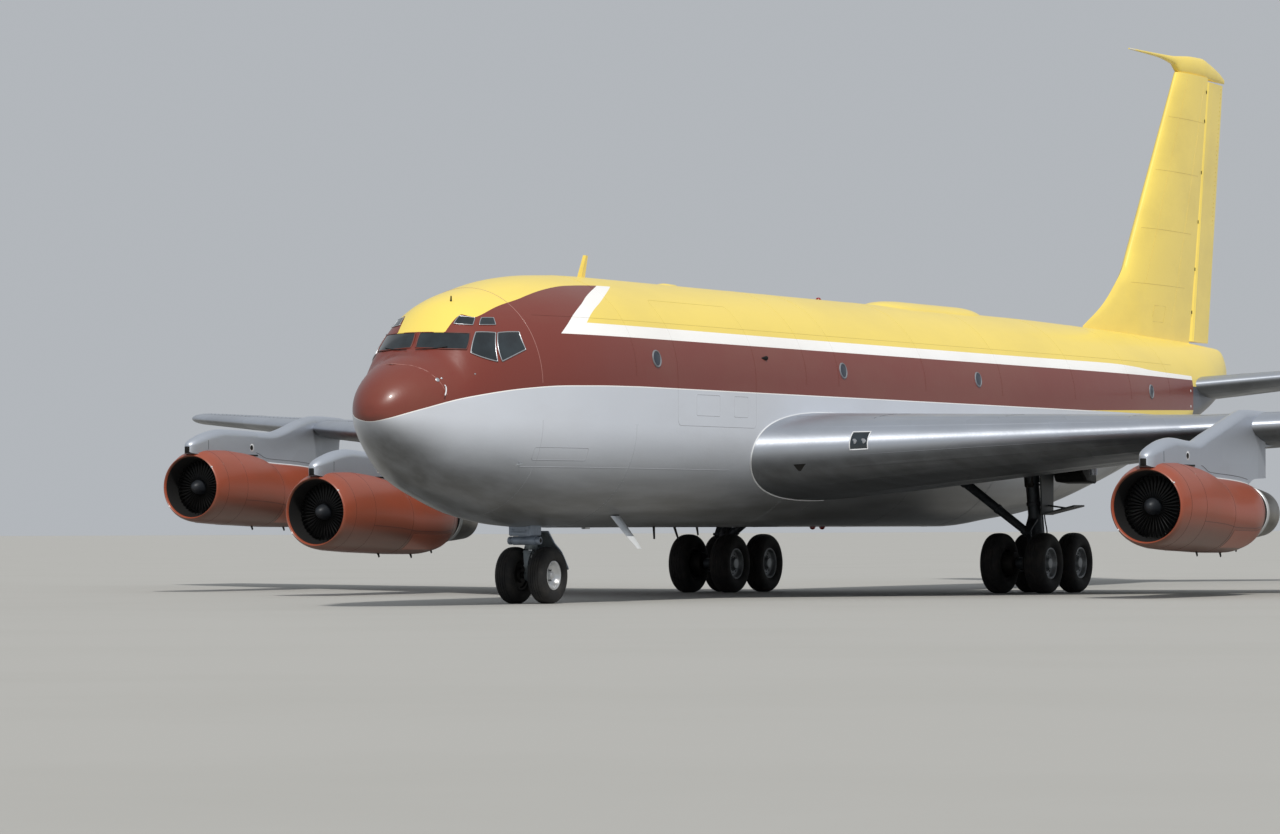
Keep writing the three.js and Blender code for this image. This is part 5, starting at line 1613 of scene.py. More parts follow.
def make_wing_lines(joint, bead):
    """Sheet joints on both skins behind the leading edge, and the outlines of the spoilers."""
    for name, rows, across, inner, outer, back in (
            ("wing", WING, WING_JOINTS_ACROSS, 1.8, 19.6, WING_SKIN_BACK),
            ("stabiliser", STABILISER, TAIL_JOINTS_ACROSS, 0.9, 5.9, TAIL_SKIN_BACK)):
        qs = spread(LINES_FROM, math.sqrt(back - 0.01), 24)
        paths = [[surface_point(rows, x, sign * q, LINE_SINK) for q in qs]
                 for x in across for sign in (1, -1)]
        paths += [[surface_point(rows, x, sign * math.sqrt(fraction), LINE_SINK)
                   for x in spread(inner, outer, 50)]
                  for fraction in JOINTS_ALONG for sign in (1, -1)]
        if name == "wing":
            paths += [[surface_point(rows, x, math.sqrt(f), LINE_SINK) for f in spread(*SPOILER_CHORD, 5)]
                      for x in SPOILER_EDGES]
        beads(f"{name}_joints", bead, both_sides(paths), LINE_RADIUS, joint, "bare_skin")


def wing_patch(corners, proud):
    """A patch on the wing between four (x, q) corners."""
    grid = []
    for b in spread(0, 1, PATCH_STEPS):
        left = along_edge(corners[0], corners[3], b)
        right = along_edge(corners[1], corners[2], b)
        grid.append([along_edge(left, right, a) for a in spread(0, 1, PATCH_STEPS)])
    middle = Vector(place(corners[0][0], 14.0, 2.6))
    return patch_shape(wing_point, grid, proud, 0.02, middle)


def root_seal():
    """The line where the wing's skin meets the fuselage."""
    path = []
    for q in spread(*ROOT_SEAL):
        x = 1.6
        for _ in range(8):
            at = wing_point(x, q)
            x = side_point(at.y + HALF_LENGTH, at.z).x
        path.append(wing_point(x + 0.004, q))
    return path


def generator_shape(x):
    foot = wing_point(x, GENERATOR_Q)
    return lofted([
        [tuple(foot + share * GENERATOR_HALF_LENGTH * GENERATOR_RUN + Vector((side, 0, rise)))
         for share, rise in GENERATOR]
        for side in (GENERATOR_HALF_THICKNESS, -GENERATOR_HALF_THICKNESS)])


def fitted_on_both(name, shapes, material, slot):
    """Port shapes and their mirror images as one piece on the airframe."""
    fitted(name, shapes + [mirrored(shape) for shape in shapes], material, slot)


def make_wing_fittings(glass, pale, dark, bright, bead):
    (x0, x1), (q0, q1) = LAMP_PANEL_X, LAMP_PANEL_Q
    *panel, rim = wing_patch(((x0, q1), (x1, q1), (x1, q0), (x0, q0)), 0.003)
    *intake, _ = wing_patch(INTAKE, 0.002)
    fitted_on_both("landing_light_panels", [panel], glass, "glazing")
    # dark patches at the wing roots: painted shade of the intakes' openings
    fitted_on_both("wing_root_intakes", [intake], dark, "bare_skin")
    frames = both_sides([rim + rim[:1]])
    beads("landing_light_frames", bead, frames, 0.011, pale, "bare_skin", 8)
    beads("wing_root_seals", bead, both_sides([root_seal()]), 0.013, pale, "bare_skin", 8)
    lamps = []
    for x in LAMPS_X:
        at = lifted(wing_point, x, 0.035, 0.0, Vector(place(x, 14.0, 2.6)))
        lamps.append(lathe(at + Vector((0, 0.02, 0)), at - Vector((0, 0.02, 0)), LAMP, 24))
    fitted_on_both("landing_lamps", lamps, bright, "bare_skin")
    plates = [generator_shape(x) for x in spread(*GENERATORS)]
    fitted_on_both("vortex_generators", plates, bright, "bare_skin")
    fitted_on_both("underwing_boxes", [strap(UNDERWING_BOX, 0.03)], dark, "bare_skin")


# heights of the joints across the fin, and the chord fractions between which they run
FIN_JOINTS = (6.4, 7.6, 8.9, 10.1)
FIN_JOINT_CHORD = (0.03, 0.62)
# chord fraction and lower end of the joints that run up the fin
FIN_SPARS = ((0.17, 6.4), (0.52, 5.5))
FIN_HATCH = ((5.95, 0.3), (5.95, 0.42), (5.6, 0.42), (5.6, 0.3), (5.95, 0.3))
HINGE_COVERS = (5.9, 6.85, 7.9, 9.0, 10.15, 10.8)
COVER_AHEAD = 0.17
COVER_HALF_HEIGHT = 0.035
RUDDER_RIVETS = (7.9, 10.95, 20)


def make_fin_lines(joint, dark, bead, row):
    paths = [[fin_point(height, f) for f in spread(*FIN_JOINT_CHORD, 24)] for height in FIN_JOINTS]
    paths += [[fin_point(height, fraction) for height in spread(low, 11.0, 30)]
              for fraction, low in FIN_SPARS]
    paths.append([fin_point(height, f) for height, f in FIN_HATCH])
    beads("fin_joints", bead, both_sides(paths), LINE_RADIUS, joint, "fin_paint")
    pins = []
    for height in HINGE_COVERS:
        _, edge, chord, _ = between(FIN, height)
        at = fin_point(height, (hinge_station(height) - COVER_AHEAD - edge) / chord, 0.0)
        pins.append(strap([(at.x, at.y + HALF_LENGTH, height + rise, 0.01, 0.016)
                           for rise in (-COVER_HALF_HEIGHT, COVER_HALF_HEIGHT)], 0.003))
    fitted_on_both("hinge_covers", pins, dark, "fin_paint")
    edge = [fin_point(height, 0.955, 0.0) for height in spread(*RUDDER_RIVETS)]
    by_nodes("rudder_rivets", row, *chained(both_sides([edge])), [],
             {"Spacing": 0.1, "Radius": 0.011, "Finish": joint}, "rudder", "fin_paint")


POD_JOINTS = (0.35, 1.02, 2.4, 4.13)
HATCH_LINES = (-20, 200, -90)
# offsets and angles of the lower doors
LOWER_DOOR = (2.5, 4.1, -60, -25)
# outboard side, inboard side: port's offset and height, slot's ends and height
PYLON_PORTS = ((1.51, 0.86, 1.32, 1.82, 0.695), (2.0, 0.8, 1.72, 2.21, 0.645))
PORT_BACK = 0.022  # how far ahead of its rim's middle the dark hole lies; the dark hole is painted shade and the pale rim bare aft of it painted light on the hole's back wall
PORT_HOLE = ((0, 0.052), (0.026, 0.052), (0.027, 0.03))
PORT_RIM_AND_LIT_WALL = ((0, 0.078), (0.02, 0.078), (0.024, 0.07))
SEAL_SPAN = (2.3, 4.35)
PYLON_LINE_SPAN = (2.15, 4.38)
LIP_STUDS = (38, 218)
LIP_STUD_CIRCLE = 0.637
LIP_STUD = ((0, 0.015), (0.026, 0.015), (0.03, 0.009))
# corners of the dark inlet under the pylon's nose, its dark the painted shade of the opening: aside,
# offset, height
NOSE_SLOT = ((-0.054, -0.122, 0.672), (0.054, -0.02, 0.8))
DRAINS = ((2.1, -84), (3.4, -90), (4.15, -90))


def pod_point(engine, offset, degrees, sink=0.0):
    _, x, station, height = engine
    top, bottom, half = (curve(offset) for curve in POD_CURVES)
    t = math.radians(degrees)
    return Vector((x + (half - sink) * math.cos(t), along(station + offset),
                   height + (top - bottom) / 2 + ((top + bottom) / 2 - sink) * math.sin(t)))


def pod_seam(engine, route):
    return [pod_point(engine, offset, degrees, 0.002) for offset, degrees in route]


def pylon_foot(engine, side, offset, rise):
    """Where a pylon's side meets its pod, or a rise over it."""
    _, x, station, height = engine
    top, bottom, half = (curve(offset) for curve in POD_CURVES)
    aside = PYLON_WIDTH(offset)
    crown = (top - bottom) / 2 + (top + bottom) / 2 * math.sqrt(1 - (aside / half) ** 2)
    return Vector(place(x + side * (aside + 0.001), station + offset, height + crown + rise))


def make_pod_joints(engine, joint, skin_joint, pale, bead):
    name = engine[0]
    paths = [pod_seam(engine, [(offset, t) for t in spread(0, 360, 73)]) for offset in POD_JOINTS]
    paths += [pod_seam(engine, [(offset, t) for offset in spread(POD_JOINTS[1], POD_JOINTS[-1], 20)])
              for t in HATCH_LINES]
    s0, s1, low, high = LOWER_DOOR
    for a, b in ((low, high), (180 - low, 180 - high)):
        paths.append(pod_seam(engine, (
            [(s, a) for s in spread(s0, s1, 8)] + [(s1, t) for t in spread(a, b, 8)]
            + [(s, b) for s in spread(s1, s0, 8)] + [(s0, t) for t in spread(b, a, 8)])))
    beads(f"{name}_cowl_joints", bead, paths, 0.005, joint, "cowl_paint")
    seals, lines = [], []
    for side in (1, -1):
        seals.append([pylon_foot(engine, side, offset, -0.004) for offset in spread(*SEAL_SPAN, 24)])
        lines.append([pylon_foot(engine, side, offset, 0.085)
                      for offset in spread(*PYLON_LINE_SPAN, 24)])
        lines.append([pylon_foot(engine, side, 0.4, rise) for rise in (0.02, 0.1, 0.2)])
    beads(f"{name}_pylon_seals", bead, seals, 0.02, pale, "bare_skin", 8)
    beads(f"{name}_pylon_joints", bead, lines, 0.005, skin_joint, "bare_skin")


def make_pod_fittings(engine, clean_paint, pale, dark):
    """Lower cowl doors, ports and slots in the pylon's sides, studs on the lip, and drains."""
    name, x, station, height = engine
    s0, s1, low, high = LOWER_DOOR
    panels = []
    middle = Vector(place(x, station + 3.5, height))
    for a, b in ((low, high), (180 - high, 180 - low)):
        grid = [[(offset, degrees) for degrees in spread(a, b, 9)] for offset in spread(s0, s1, 13)]
        *panel, _ = patch_shape(lambda s, t: pod_point(engine, s, t), grid, 0.003, 0.01, middle)
        panels.append(panel)
    fitted(f"{name}_cowl_doors", panels, clean_paint, "cowl_paint")
    black, rims = [], []
    for side in (1, -1):
        out = Vector((side, 0, 0))
        port_at, up, slot_from, slot_to, slot_up = PYLON_PORTS[0 if side * x > 0 else 1]
        hub = Vector(place(x + side * PYLON_WIDTH(port_at), station + port_at, height + up))
        # a dark disc of painted shade for the hole, ahead of a pale disc whose bare aft part is painted
        # light on the hole's back wall
        hole = hub - Vector((0, PORT_BACK, 0))
        black.append(lathe(hole - 0.02 * out, hole + out, PORT_HOLE, 24))
        rims.append(lathe(hub - 0.02 * out, hub + out, PORT_RIM_AND_LIT_WALL, 24))
        # a dark slot: painted shade of an opening
        black.append(slab((hub.x - 0.008, station + slot_from, height + slot_up - 0.016),
                          (hub.x + 0.008, station + slot_to, height + slot_up + 0.016), 0.002))
    for degrees in LIP_STUDS:
        t = math.radians(degrees)
        at = Vector(place(x + LIP_STUD_CIRCLE * math.cos(t), station + 0.02,
                          height + LIP_STUD_CIRCLE * math.sin(t)))
        rims.append(lathe(at, at - Vector((0, 1, 0)), LIP_STUD, 16))
    black.append(slab(*((x + a, station + s, height + z) for a, s, z in NOSE_SLOT), 0.008))
    for offset, degrees in DRAINS:
        at = pod_point(engine, offset, degrees)
        s = at.y + HALF_LENGTH
        black.append(strap([
            (at.x, s, at.z + 0.02, 0.012, 0.03), (at.x, s + 0.05, at.z - 0.07, 0.008, 0.02)], 0.004))
    fitted(f"{name}_dark_fittings", black, dark, "hot_metal")
    fitted(f"{name}_port_rims_and_lit_walls", rims, pale, "bare_skin")


# Nose gear

# station, height, half width of the deflector behind the wheels
DEFLECTOR = (
    (5.235, 1.175, 0.215), (5.345, 0.98, 0.27), (5.44, 0.83, 0.35), (5.6, 0.56, 0.385))
EDGE_RADIUS = 0.0125
EDGE_AFT = 0.004
NOSE_STATION = 5.05
# height over the leg's foot, radius; from the top of its bore down and round to its top
NOSE_LEG = (
    (0.3, 0.068), (0.0, 0.068), (0.0, 0.098), (0.01, 0.105), (0.09, 0.105), (0.095, 0.114),
    (0.13, 0.114), (0.135, 0.105), (0.46, 0.105), (0.465, 0.116), (0.52, 0.116), (0.525, 0.105),
    (0.8747, 0.105))
NOSE_LEG_FOOT = 0.88
# distance along it, radius: the steering jack across the leg, and the strut behind it
NOSE_JACK = (
    (0.0, 0.04), (0.0, 0.058), (0.015, 0.066), (0.055, 0.066), (0.058, 0.056), (0.085, 0.056),
    (0.09, 0.072), (0.504, 0.072), (0.509, 0.056), (0.536, 0.056), (0.539, 0.066), (0.579, 0.066),
    (0.594, 0.058), (0.594, 0.04))
NOSE_STRUT = (
    (0, 0.05), (0.13, 0.05), (0.135, 0.058), (0.17, 0.058), (0.175, 0.05), (0.43, 0.05),
    (0.435, 0.058), (0.52, 0.058))
# corners of the pale block round the leg, and the bevel of their edges
NOSE_BLOCKS = (
    ((-0.2, 4.65, 1.105), (0.2, 5.05, 1.3), 0.02), ((-0.11, 4.81, 0.99), (0.11, 5.05, 1.15), 0.012),
    ((-0.185, 4.64, 1.125), (0.185, 4.652, 1.175), 0.003),
    ((-0.185, 4.64, 1.215), (0.185, 4.652, 1.285), 0.003),
)
NOSE_ARM = ((0.16, 4.7, 1.28, 0.018, 0.03), (0.2, 4.74, 1.5, 0.016, 0.025),
            (0.24, 4.78, 1.72, 0.016, 0.025))
# radius, then the places it runs through
NOSE_HOSES = (
    (0.01, ((0.06, 5.17, 1.62), (0.085, 5.165, 1.45), (0.095, 5.15, 1.25), (0.1, 5.145, 1.08),
             (0.06, 5.13, 0.96))),
    (0.009, ((-0.05, 5.17, 1.62), (-0.09, 5.16, 1.4), (-0.09, 5.155, 1.2), (-0.1, 5.14, 1.02),
             (-0.05, 5.14, 0.93))),
    (0.008, ((0.11, 4.98, 1.1), (0.17, 4.93, 1.04), (0.2, 4.9, 0.99), (0.12, 4.92, 0.965),
             (0.07, 4.96, 0.97))),
)
# radius, distance aside
AXLE_BOSS = (
    (0.061, -0.095), (0.082, -0.095), (0.092, -0.082), (0.092, 0.082), (0.082, 0.095),
    (0.061, 0.095), (0.061, -0.095))
PISTON_FOOT = ((0, 0.084), (0.07, 0.084), (0.11, 0.07), (0.15, 0.07))
PISTON_COLLAR = ((0, 0.07), (0.004, 0.082), (0.07, 0.082), (0.074, 0.07))
NOSE_TORQUE_LINK = (
    (0, 4.935, 0.865, 0.072, 0.018), (0, 4.915, 0.79, 0.064, 0.018), (0, 4.89, 0.69, 0.044, 0.016),
    (0, 4.885, 0.61, 0.031, 0.016), (0, 4.915, 0.54, 0.029, 0.018), (0, 4.965, 0.485, 0.029, 0.022))


def make_nose_gear(pale, steel, chrome, rubber):
    s = NOSE_STATION
    block = [slab(*corners) for corners in NOSE_BLOCKS]
    block.append(spindle((-0.297, 4.84, 1.03), (0.3, 4.84, 1.03), NOSE_JACK))
    leg = [
        spindle((0, s, NOSE_LEG_FOOT), (0, s, 2), NOSE_LEG, 36),
        spindle((0, s, 1.35), (0, 5.44, 1.695), NOSE_STRUT),
        rod((-0.1, 5.44, 1.695), (0.1, 5.44, 1.695), 0.035),
    ]
    for side in (1, -1):
        leg.append(strap([(side * x, *rest) for x, *rest in NOSE_ARM], 0.005))
        block.append(rod((side * 0.12, 4.652, 1.2), (side * 0.12, 4.632, 1.2), 0.014, sides=6))
    fitted("nose_gear_block", block, pale, "gear_metal", stands_for=("nose_leg",))
    fitted("nose_gear_leg", leg, steel, "gear_metal", stands_for=("nose_leg",))
    caps = [rod((side * 0.294, 4.84, 1.03), (side * 0.3, 4.84, 1.03), 0.038) for side in (1, -1)]
    lines = [pipe(route, radius) for radius, route in NOSE_HOSES]
    fitted("nose_gear_hoses", caps + lines, rubber, "gear_metal")

    fork = [
        turned(AXLE_BOSS, NOSE_AXLE, "X", 40),
        spindle((0, s, 0.535), (0, s, 0.7), PISTON_FOOT, 32),
        spindle((0, s, 0.79), (0, s, 0.868), PISTON_COLLAR, 32),
        slab((-0.05, 4.93, 0.8), (0.05, 5.0, 0.86), 0.008),
        strap(NOSE_TORQUE_LINK),
        rod((-0.085, 4.94, 0.845), (0.085, 4.94, 0.845), 0.017),
        rod((-0.045, 4.885, 0.625), (0.045, 4.885, 0.625), 0.015),
    ]
    steered = ("gear_metal", "nose_fork", ("nose_steering",))
    fitted("nose_fork_forging", fork, steel, *steered)
    fitted("nose_piston", [rod((0, s, 0.53), (0, s, 1.14), 0.062, sides=36)], chrome, *steered)
    edges = [pipe([(side * w, station + EDGE_AFT, z) for station, z, w in DEFLECTOR], EDGE_RADIUS)
             for side in (1, -1)]
    edges += [rod((-w, station + EDGE_AFT, z), (w, station + EDGE_AFT, z), EDGE_RADIUS)
              for station, z, w in (DEFLECTOR[0], DEFLECTOR[-1])]
    fitted("deflector_edge", edges, pale, "gear_metal", "nose_fork")


# Main gear, port side; the starboard side mirrors it

# radius, distance aside
BEAM_BOSS = (
    (0.07, -0.085), (0.095, -0.085), (0.106, -0.072), (0.106, 0.072), (0.095, 0.085),
    (0.07, 0.085), (0.07, -0.085))
BRAKE = (
    (0.075, 0.096), (0.19, 0.096), (0.208, 0.108), (0.213, 0.13), (0.213, 0.31), (0.155, 0.31),
    (0.155, 0.135), (0.075, 0.135), (0.075, 0.096))
# distance along it, radius
LEG_ROWS = (
    (0.0, 0.098), (0.0, 0.125), (0.012, 0.136), (0.11, 0.136), (0.125, 0.125), (0.56, 0.125),
    (0.57, 0.14), (0.63, 0.14), (0.64, 0.125), (0.98, 0.125), (0.99, 0.145), (1.26, 0.145))
LEG_FOOT = ((0, 0.1), (0.02, 0.115), (0.12, 0.115), (0.15, 0.09))
BRACE_ROWS = (
    (0, 0.085), (0.14, 0.085), (0.15, 0.1), (0.24, 0.1), (0.25, 0.085), (1.0, 0.08),
    (1.01, 0.092), (1.07, 0.092), (1.08, 0.08), (1.66, 0.075), (1.67, 0.088), (1.78, 0.088),
    (1.79, 0.07), (1.86, 0.07))
# aside and aft of the leg's foot, height, half width, half thickness
TORQUE_LINKS = (
    ((0, -0.12, 1.36, 0.085, 0.022), (0, -0.25, 1.26, 0.065, 0.02), (0, -0.39, 1.12, 0.04, 0.02)),
    ((0, -0.39, 1.1, 0.04, 0.02), (0, -0.25, 0.93, 0.06, 0.02), (0, -0.12, 0.8, 0.08, 0.022)),
    ((0, 0.07, 1.5, 0.05, 0.02), (0, 0.19, 1.54, 0.04, 0.02)),
)
BEAM_REACH = HALF_WHEELBASE - 0.08
BEAM = (
    (0, -BEAM_REACH, AXLE_HEIGHT, 0.07, 0.075), (0, -0.42, 0.56, 0.07, 0.07),
    (0, -0.18, 0.575, 0.08, 0.08), (0, 0, 0.58, 0.085, 0.085), (0, 0.18, 0.575, 0.08, 0.08),
    (0, 0.42, 0.56, 0.07, 0.07), (0, BEAM_REACH, AXLE_HEIGHT, 0.07, 0.075))
# two ends aside and aft of the leg's foot, and a radius
LEG_RODS = (
    ((-0.065, -0.395, 1.11), (0.065, -0.395, 1.11), 0.026),
    ((0.02, 0.17, 1.52), (0, 0.36, 0.66), 0.036),
    ((0.01, 0.27, 1.06), (0, 0.36, 0.66), 0.024),
)
# radius, then places aside and aft of the leg's foot
LEG_HOSES = (
    (0.016, ((-0.13, -0.05, 2.2), (-0.17, -0.02, 1.9), (-0.145, 0, 1.5), (-0.19, 0, 1.25),
             (-0.17, -0.03, 1.1), (-0.12, -0.08, 0.9), (-0.1, -0.16, 0.7))),
    (0.012, ((-0.08, -0.17, 2.2), (-0.1, -0.19, 1.8), (-0.09, -0.15, 1.45), (-0.13, -0.2, 1.2),
             (-0.1, -0.22, 0.95), (-0.09, -0.35, 0.68))),
    (0.013, ((0.06, 0.08, 2.2), (0.1, 0.12, 1.8), (0.1, 0.15, 1.4), (0.13, 0.18, 1.15),
             (0.1, 0.26, 0.9), (0.09, 0.36, 0.68))),
)
DOOR_RIBS = (1.56, 1.74, 1.92, 2.08)
DOOR_LINKS = (1.62, 2.0)


def main_gear_parts():
    """Steel parts, bright pistons, dark parts with hoses, and the door's ribs, as lists of shapes."""
    x, s = MAIN_X, BOGIE_STATION

    def from_leg(route):
        return [(x + aside, s + aft, *rest) for aside, aft, *rest in route]

    steel = [
        spindle((x, s, 1.05), (x - 0.09, s - 0.09, 2.6), LEG_ROWS, 36),
        spindle((x, s, 0.62), (x, s, 1), LEG_FOOT, 32),
        spindle((1.65, 18.3, 2.18), (3.169, 18.34, 1.04), BRACE_ROWS, 32),
        strap(from_leg(BEAM), 0.014),
    ]
    steel += [strap(from_leg(route)) for route in TORQUE_LINKS]
    steel += [rod(*from_leg(ends), radius) for *ends, radius in LEG_RODS]
    dark = [pipe(from_leg(route), radius) for radius, route in LEG_HOSES]
    dark.append(slab(*from_leg(((-0.16, -0.2, 1.95), (0.02, -0.1, 2.25))), 0.02))
    for sign in (1, -1):
        axle = place(x, s + sign * HALF_WHEELBASE, AXLE_HEIGHT)
        steel.append(turned(BEAM_BOSS, axle, "X", 36))
        for side in (1, -1):
            dark.append(turned([(r, side * d) for r, d in BRAKE], axle, "X", 40))
            ends = from_leg(((side * 0.105, sign * 0.6, 0.4), (side * 0.1, 0, 0.44)))
            steel.append(rod(*ends, 0.016))
    chrome = [rod((x, s, 0.72), (x, s, 1.1), 0.082, sides=32)]
    ribs = [slab((3.405, s - 0.25, z - 0.012), (3.431, s + 0.22, z + 0.012), 0.003) for z in DOOR_RIBS]
    ribs += [rod((x + 0.09, s - 0.06, z), (3.42, s - 0.1, z + 0.02), 0.017) for z in DOOR_LINKS]
    ribs.append(rod((3.42, s + 0.02, 1.62), (3.86, s + 0.02, 1.56), 0.016))
    return {"legs": (steel, "gear_metal"), "pistons": (chrome, "gear_metal"),
            "lines": (dark, "gear_metal"), "door_ribs": (ribs, "door_metal")}


def make_main_gear(finishes):
    for name, (shapes, slot) in main_gear_parts().items():
        for tag in ("left", "right"):
            sided = shapes if tag == "left" else [mirrored(shape) for shape in shapes]
            nodes = [f"{node}_{tag}" for node in ("leg", "brace", "bogie")] if name == "legs" else ()
            fitted(f"main_gear_{name}_{tag}", sided, finishes[name], slot, stands_for=nodes)


# Lights, floor and finish

FLOOR_HALF = 1500.0
SKY_STRENGTH = 0.62
SUN_STRENGTH = 2.7
SUN_FROM = (0.55, -0.62, 0.95)


def studio():
    scene = bpy.context.scene
    scene.view_settings.view_transform = "Standard"
    world = bpy.data.worlds.new("studio")
    scene.world = world
    world.use_nodes = True
    sky = world.node_tree.nodes["Background"]
    sky.inputs["Color"].default_value = rgb("#DDE2E8")
    sky.inputs["Strength"].default_value = SKY_STRENGTH
    sun = bpy.data.lights.new("key", "SUN")
    sun.energy = SUN_STRENGTH
    sun.angle = math.radians(4)
    sun.color = (1.0, 0.97, 0.92)
    holder = bpy.data.objects.new("key", sun)
    scene.collection.objects.link(holder)
    holder.rotation_euler = Vector(SUN_FROM).to_track_quat("Z", "Y").to_euler()
    h = FLOOR_HALF
    floor = bpy.data.meshes.new("floor")
    floor.from_pydata([(-h, -h, 0), (h, -h, 0), (h, h, 0), (-h, h, 0)], [], [(0, 1, 2, 3)])
    floor.materials.append(pale_floor())
    ground = bpy.data.objects.new("floor", floor)
    scene.collection.objects.link(ground)


def refinish(words, material):
    """Gives every CAD node whose name has one of the words a material of this script's own."""
    for name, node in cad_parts.items():
        if any(word in name for word in words):
            for holder in node.material_slots:
                holder.material = material


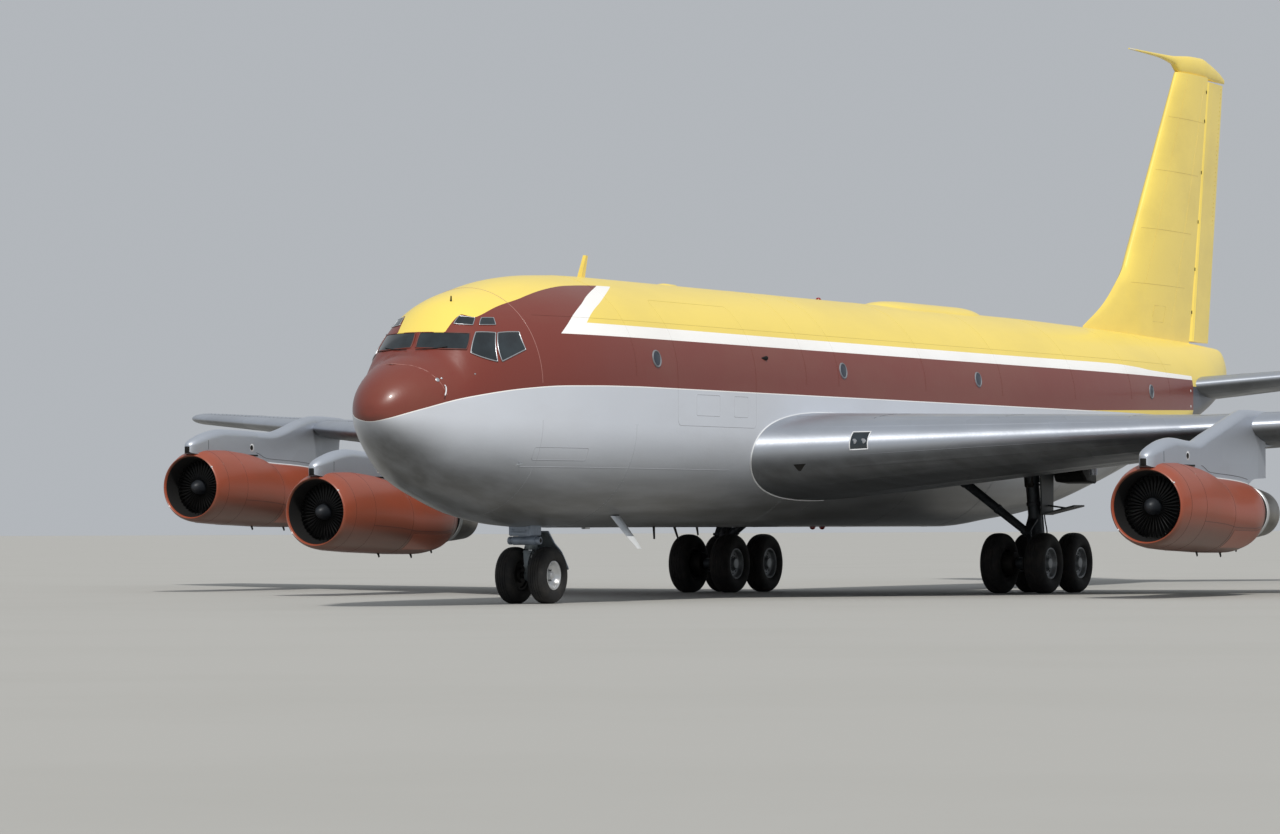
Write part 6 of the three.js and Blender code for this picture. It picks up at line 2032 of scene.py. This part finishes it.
def main():
    place_camera()
    studio()
    livery = gloss_livery()
    # the same enamel in one colour: warm yellow, an even soft gloss
    yellow = plain_enamel("yellow_enamel", "#F7DC69")
    # enamel on warm cowls: duller below, with oil and painted underside shade; the doors, often wiped, are
    # paler and cleaner
    cowl = plain_enamel("cowl_enamel", "#954831", 0.42, "#5A4234", 0.3, 0.15, 0.75)
    cowl_door = plain_enamel("cowl_door_enamel", "#A3543A", 0.42, "#5A4234", 0.35, 0.15, 0.25)
    # clad sheet: bright and patchy on the wings, paler on the pylons, small and clean on the frames; each
    # darker below by painted underside shade
    aluminium = bare_aluminium("clad_aluminium")
    pylon_metal = bare_aluminium("pylon_aluminium", "#CCD2DC", 0.42, (0.9, 0.7, 0.9), 0.08, 0.4)
    trim = bare_aluminium("frame_aluminium", "#C4C8CC", 0.3, (3, 3, 3), 0.1, 0.2)
    # cast alloy under a pale heat film: light grey, hardly a mirror
    pale_ring = worn_metal("shroud_alloy", "#C9CCCE", 0.4, 0.3, "#8A857C", 0.4, 0.2)
    # rolled steel, browned in patches by heat
    hot = worn_metal("heat_stained_steel", "#8D8B86", 0.36, 0.9, "#4A3E33", 0.5, 0.4)
    # steel under soot: near black with a dull sheen; the same finish is the painted shade in holes, slots,
    # intakes and between the twin wheels
    dark_metal_and_shade = worn_metal("sooty_steel_and_shade", "#1C1B1A", 0.6, 0.6)
    # painted shade: matt black in the inlet duct, in the gap at the cowl's end and on the tailpipe inside
    # it
    duct_shade = worn_metal("duct_shade", "#0B0B0C", 0.7, 0.0, "#141312", 0.3)
    # forged titanium deep in a duct, near black: painted shade, with a faint sheen
    blade = worn_metal("titanium_blades_in_shade", "#0B0C0D", 0.6, 0.3)
    # satin paint on a spun cone: slate grey, a soft highlight
    cone = worn_metal("bullet_paint", "#25292F", 0.5, 0.2, "#1E2024", 0.4, 0.3)
    # cast alloy, polished: bright dishes under a thin film of grease
    bright = worn_metal("polished_wheel_alloy", "#D5D7D9", 0.3, 0.75, "#6A655C", 0.35, 0.15)
    # cast alloy, painted: mid grey, browned by brake dust
    grey = worn_metal("painted_wheel_alloy", "#8C9093", 0.42, 0.5, "#2E2A26", 0.6, 0.12)
    # forged steel under thin paint: blue grey, greasy
    gear = worn_metal("gear_steel", "#7C8488", 0.45, 0.5, "#2A2622", 0.65, 0.2)
    # satin enamel on sheet, darkened to charcoal as painted shade, dusty in patches
    door = worn_metal("door_paint_and_shade", "#3E4346", 0.5, 0.1, "#4A4238", 0.5, 0.5)
    rubber = tyre_rubber()
    joint = seam_livery()
    # sealant thinly overpainted: a dull pink line on the brown
    pale_joint = plain_enamel("pale_joint", "#A5746C", 0.5, "#8A5A52", 0.3)
    # brushed sealant: off white and matt; on the pylon ports' rims it is also painted light on the holes'
    # back walls
    pale = plain_enamel("sealant_white", "#DDE0E3", 0.45, "#8C8880", 0.3)
    # enamel on a casting: pale blue grey, satin
    pale_blue = worn_metal("gear_block_enamel", "#8C97A6", 0.42, 0.25, "#3A3A3A", 0.5, 0.2)
    # ground hard chrome: a mirror on the sliding pistons
    chrome = worn_metal("hard_chrome", "#D0D3D6", 0.14, 1.0, "#8A867C", 0.3, 0.2, 0.0001)
    # forged steel under black grease: dark, wet in places
    black_gear = worn_metal("greasy_steel", "#3E4348", 0.5, 0.5, "#16130F", 0.7, 0.15)
    # cast iron and hoses under brake dust: brown black, dull
    brake = worn_metal("brake_iron", "#2A2725", 0.6, 0.6, "#110E0B", 0.6, 0.1)
    # dirt in a joint: a dull line, a shade under the bare sheet, the yellow or the cowl's paint
    skin_joint = worn_metal("skin_joint", "#5C6168", 0.5, 0.5, "#2E2E2E", 0.4, 0.5)
    fin_joint = plain_enamel("fin_joint", "#D2B658", 0.5, "#9A8240", 0.3)
    cowl_joint = plain_enamel("cowl_joint", "#4C2118", 0.5, "#241410", 0.5)
    # moulded lens: deep red with a sharp gloss
    red_lens = plain_enamel("red_lens", "#8E1712", 0.12, "#5A0E0A", 0.4, 0.8)
    bead, ring, row = bead_tree(), ring_tree(), row_tree()

    make_fuselage(livery)
    make_fuselage_seams(joint, pale_joint, livery, bead, row)
    glass = cockpit_glass()
    # stretched acrylic, blue black: painted shade of the inside behind it, half dull
    port_glass = plain_enamel("porthole_glass", "#232B38", 0.3, "#303A48", 0.4, 0.1)
    # anodised frame: mid grey and matt
    port_rim = worn_metal("porthole_rim", "#7C7F85", 0.6, 0.1, "#4A4745", 0.4, 0.2)
    make_glazing(glass, {"metal": trim, "paint": joint, "dark": dark_metal_and_shade}, bead)
    make_portholes(port_glass, port_rim)
    make_fittings(dark_metal_and_shade, pale, trim, red_lens, livery)
    make_crown_fairing(livery)
    make_flying_surfaces(aluminium)
    make_wing_lines(skin_joint, bead)
    make_wing_fittings(glass, pale, dark_metal_and_shade, trim, bead)
    make_fin(yellow)
    make_fin_lines(fin_joint, dark_metal_and_shade, bead, row)
    for engine in ENGINES:
        make_cowl(engine, cowl, duct_shade)
        make_tailpipe(engine, hot, pale_ring, duct_shade)
        make_pylon(engine, pylon_metal)
        make_rotor(engine, blade, cone, ring)
        make_pod_joints(engine, cowl_joint, skin_joint, pale, bead)
        make_pod_fittings(engine, cowl_door, pale, dark_metal_and_shade)
    make_nose_gear(pale_blue, gear, chrome, rubber)
    make_main_gear({"legs": black_gear, "pistons": chrome, "lines": brake, "door_ribs": black_gear})
    make_wheels(rubber, bright, grey, dark_metal_and_shade, ring)
    refinish(("wing", "aileron", "flap", "stabiliser", "elevator"), aluminium)
    refinish(("rudder", "blade_antenna"), yellow)
    refinish(("nose_deflector",), gear)
    refinish(("leg_door",), door)


main()
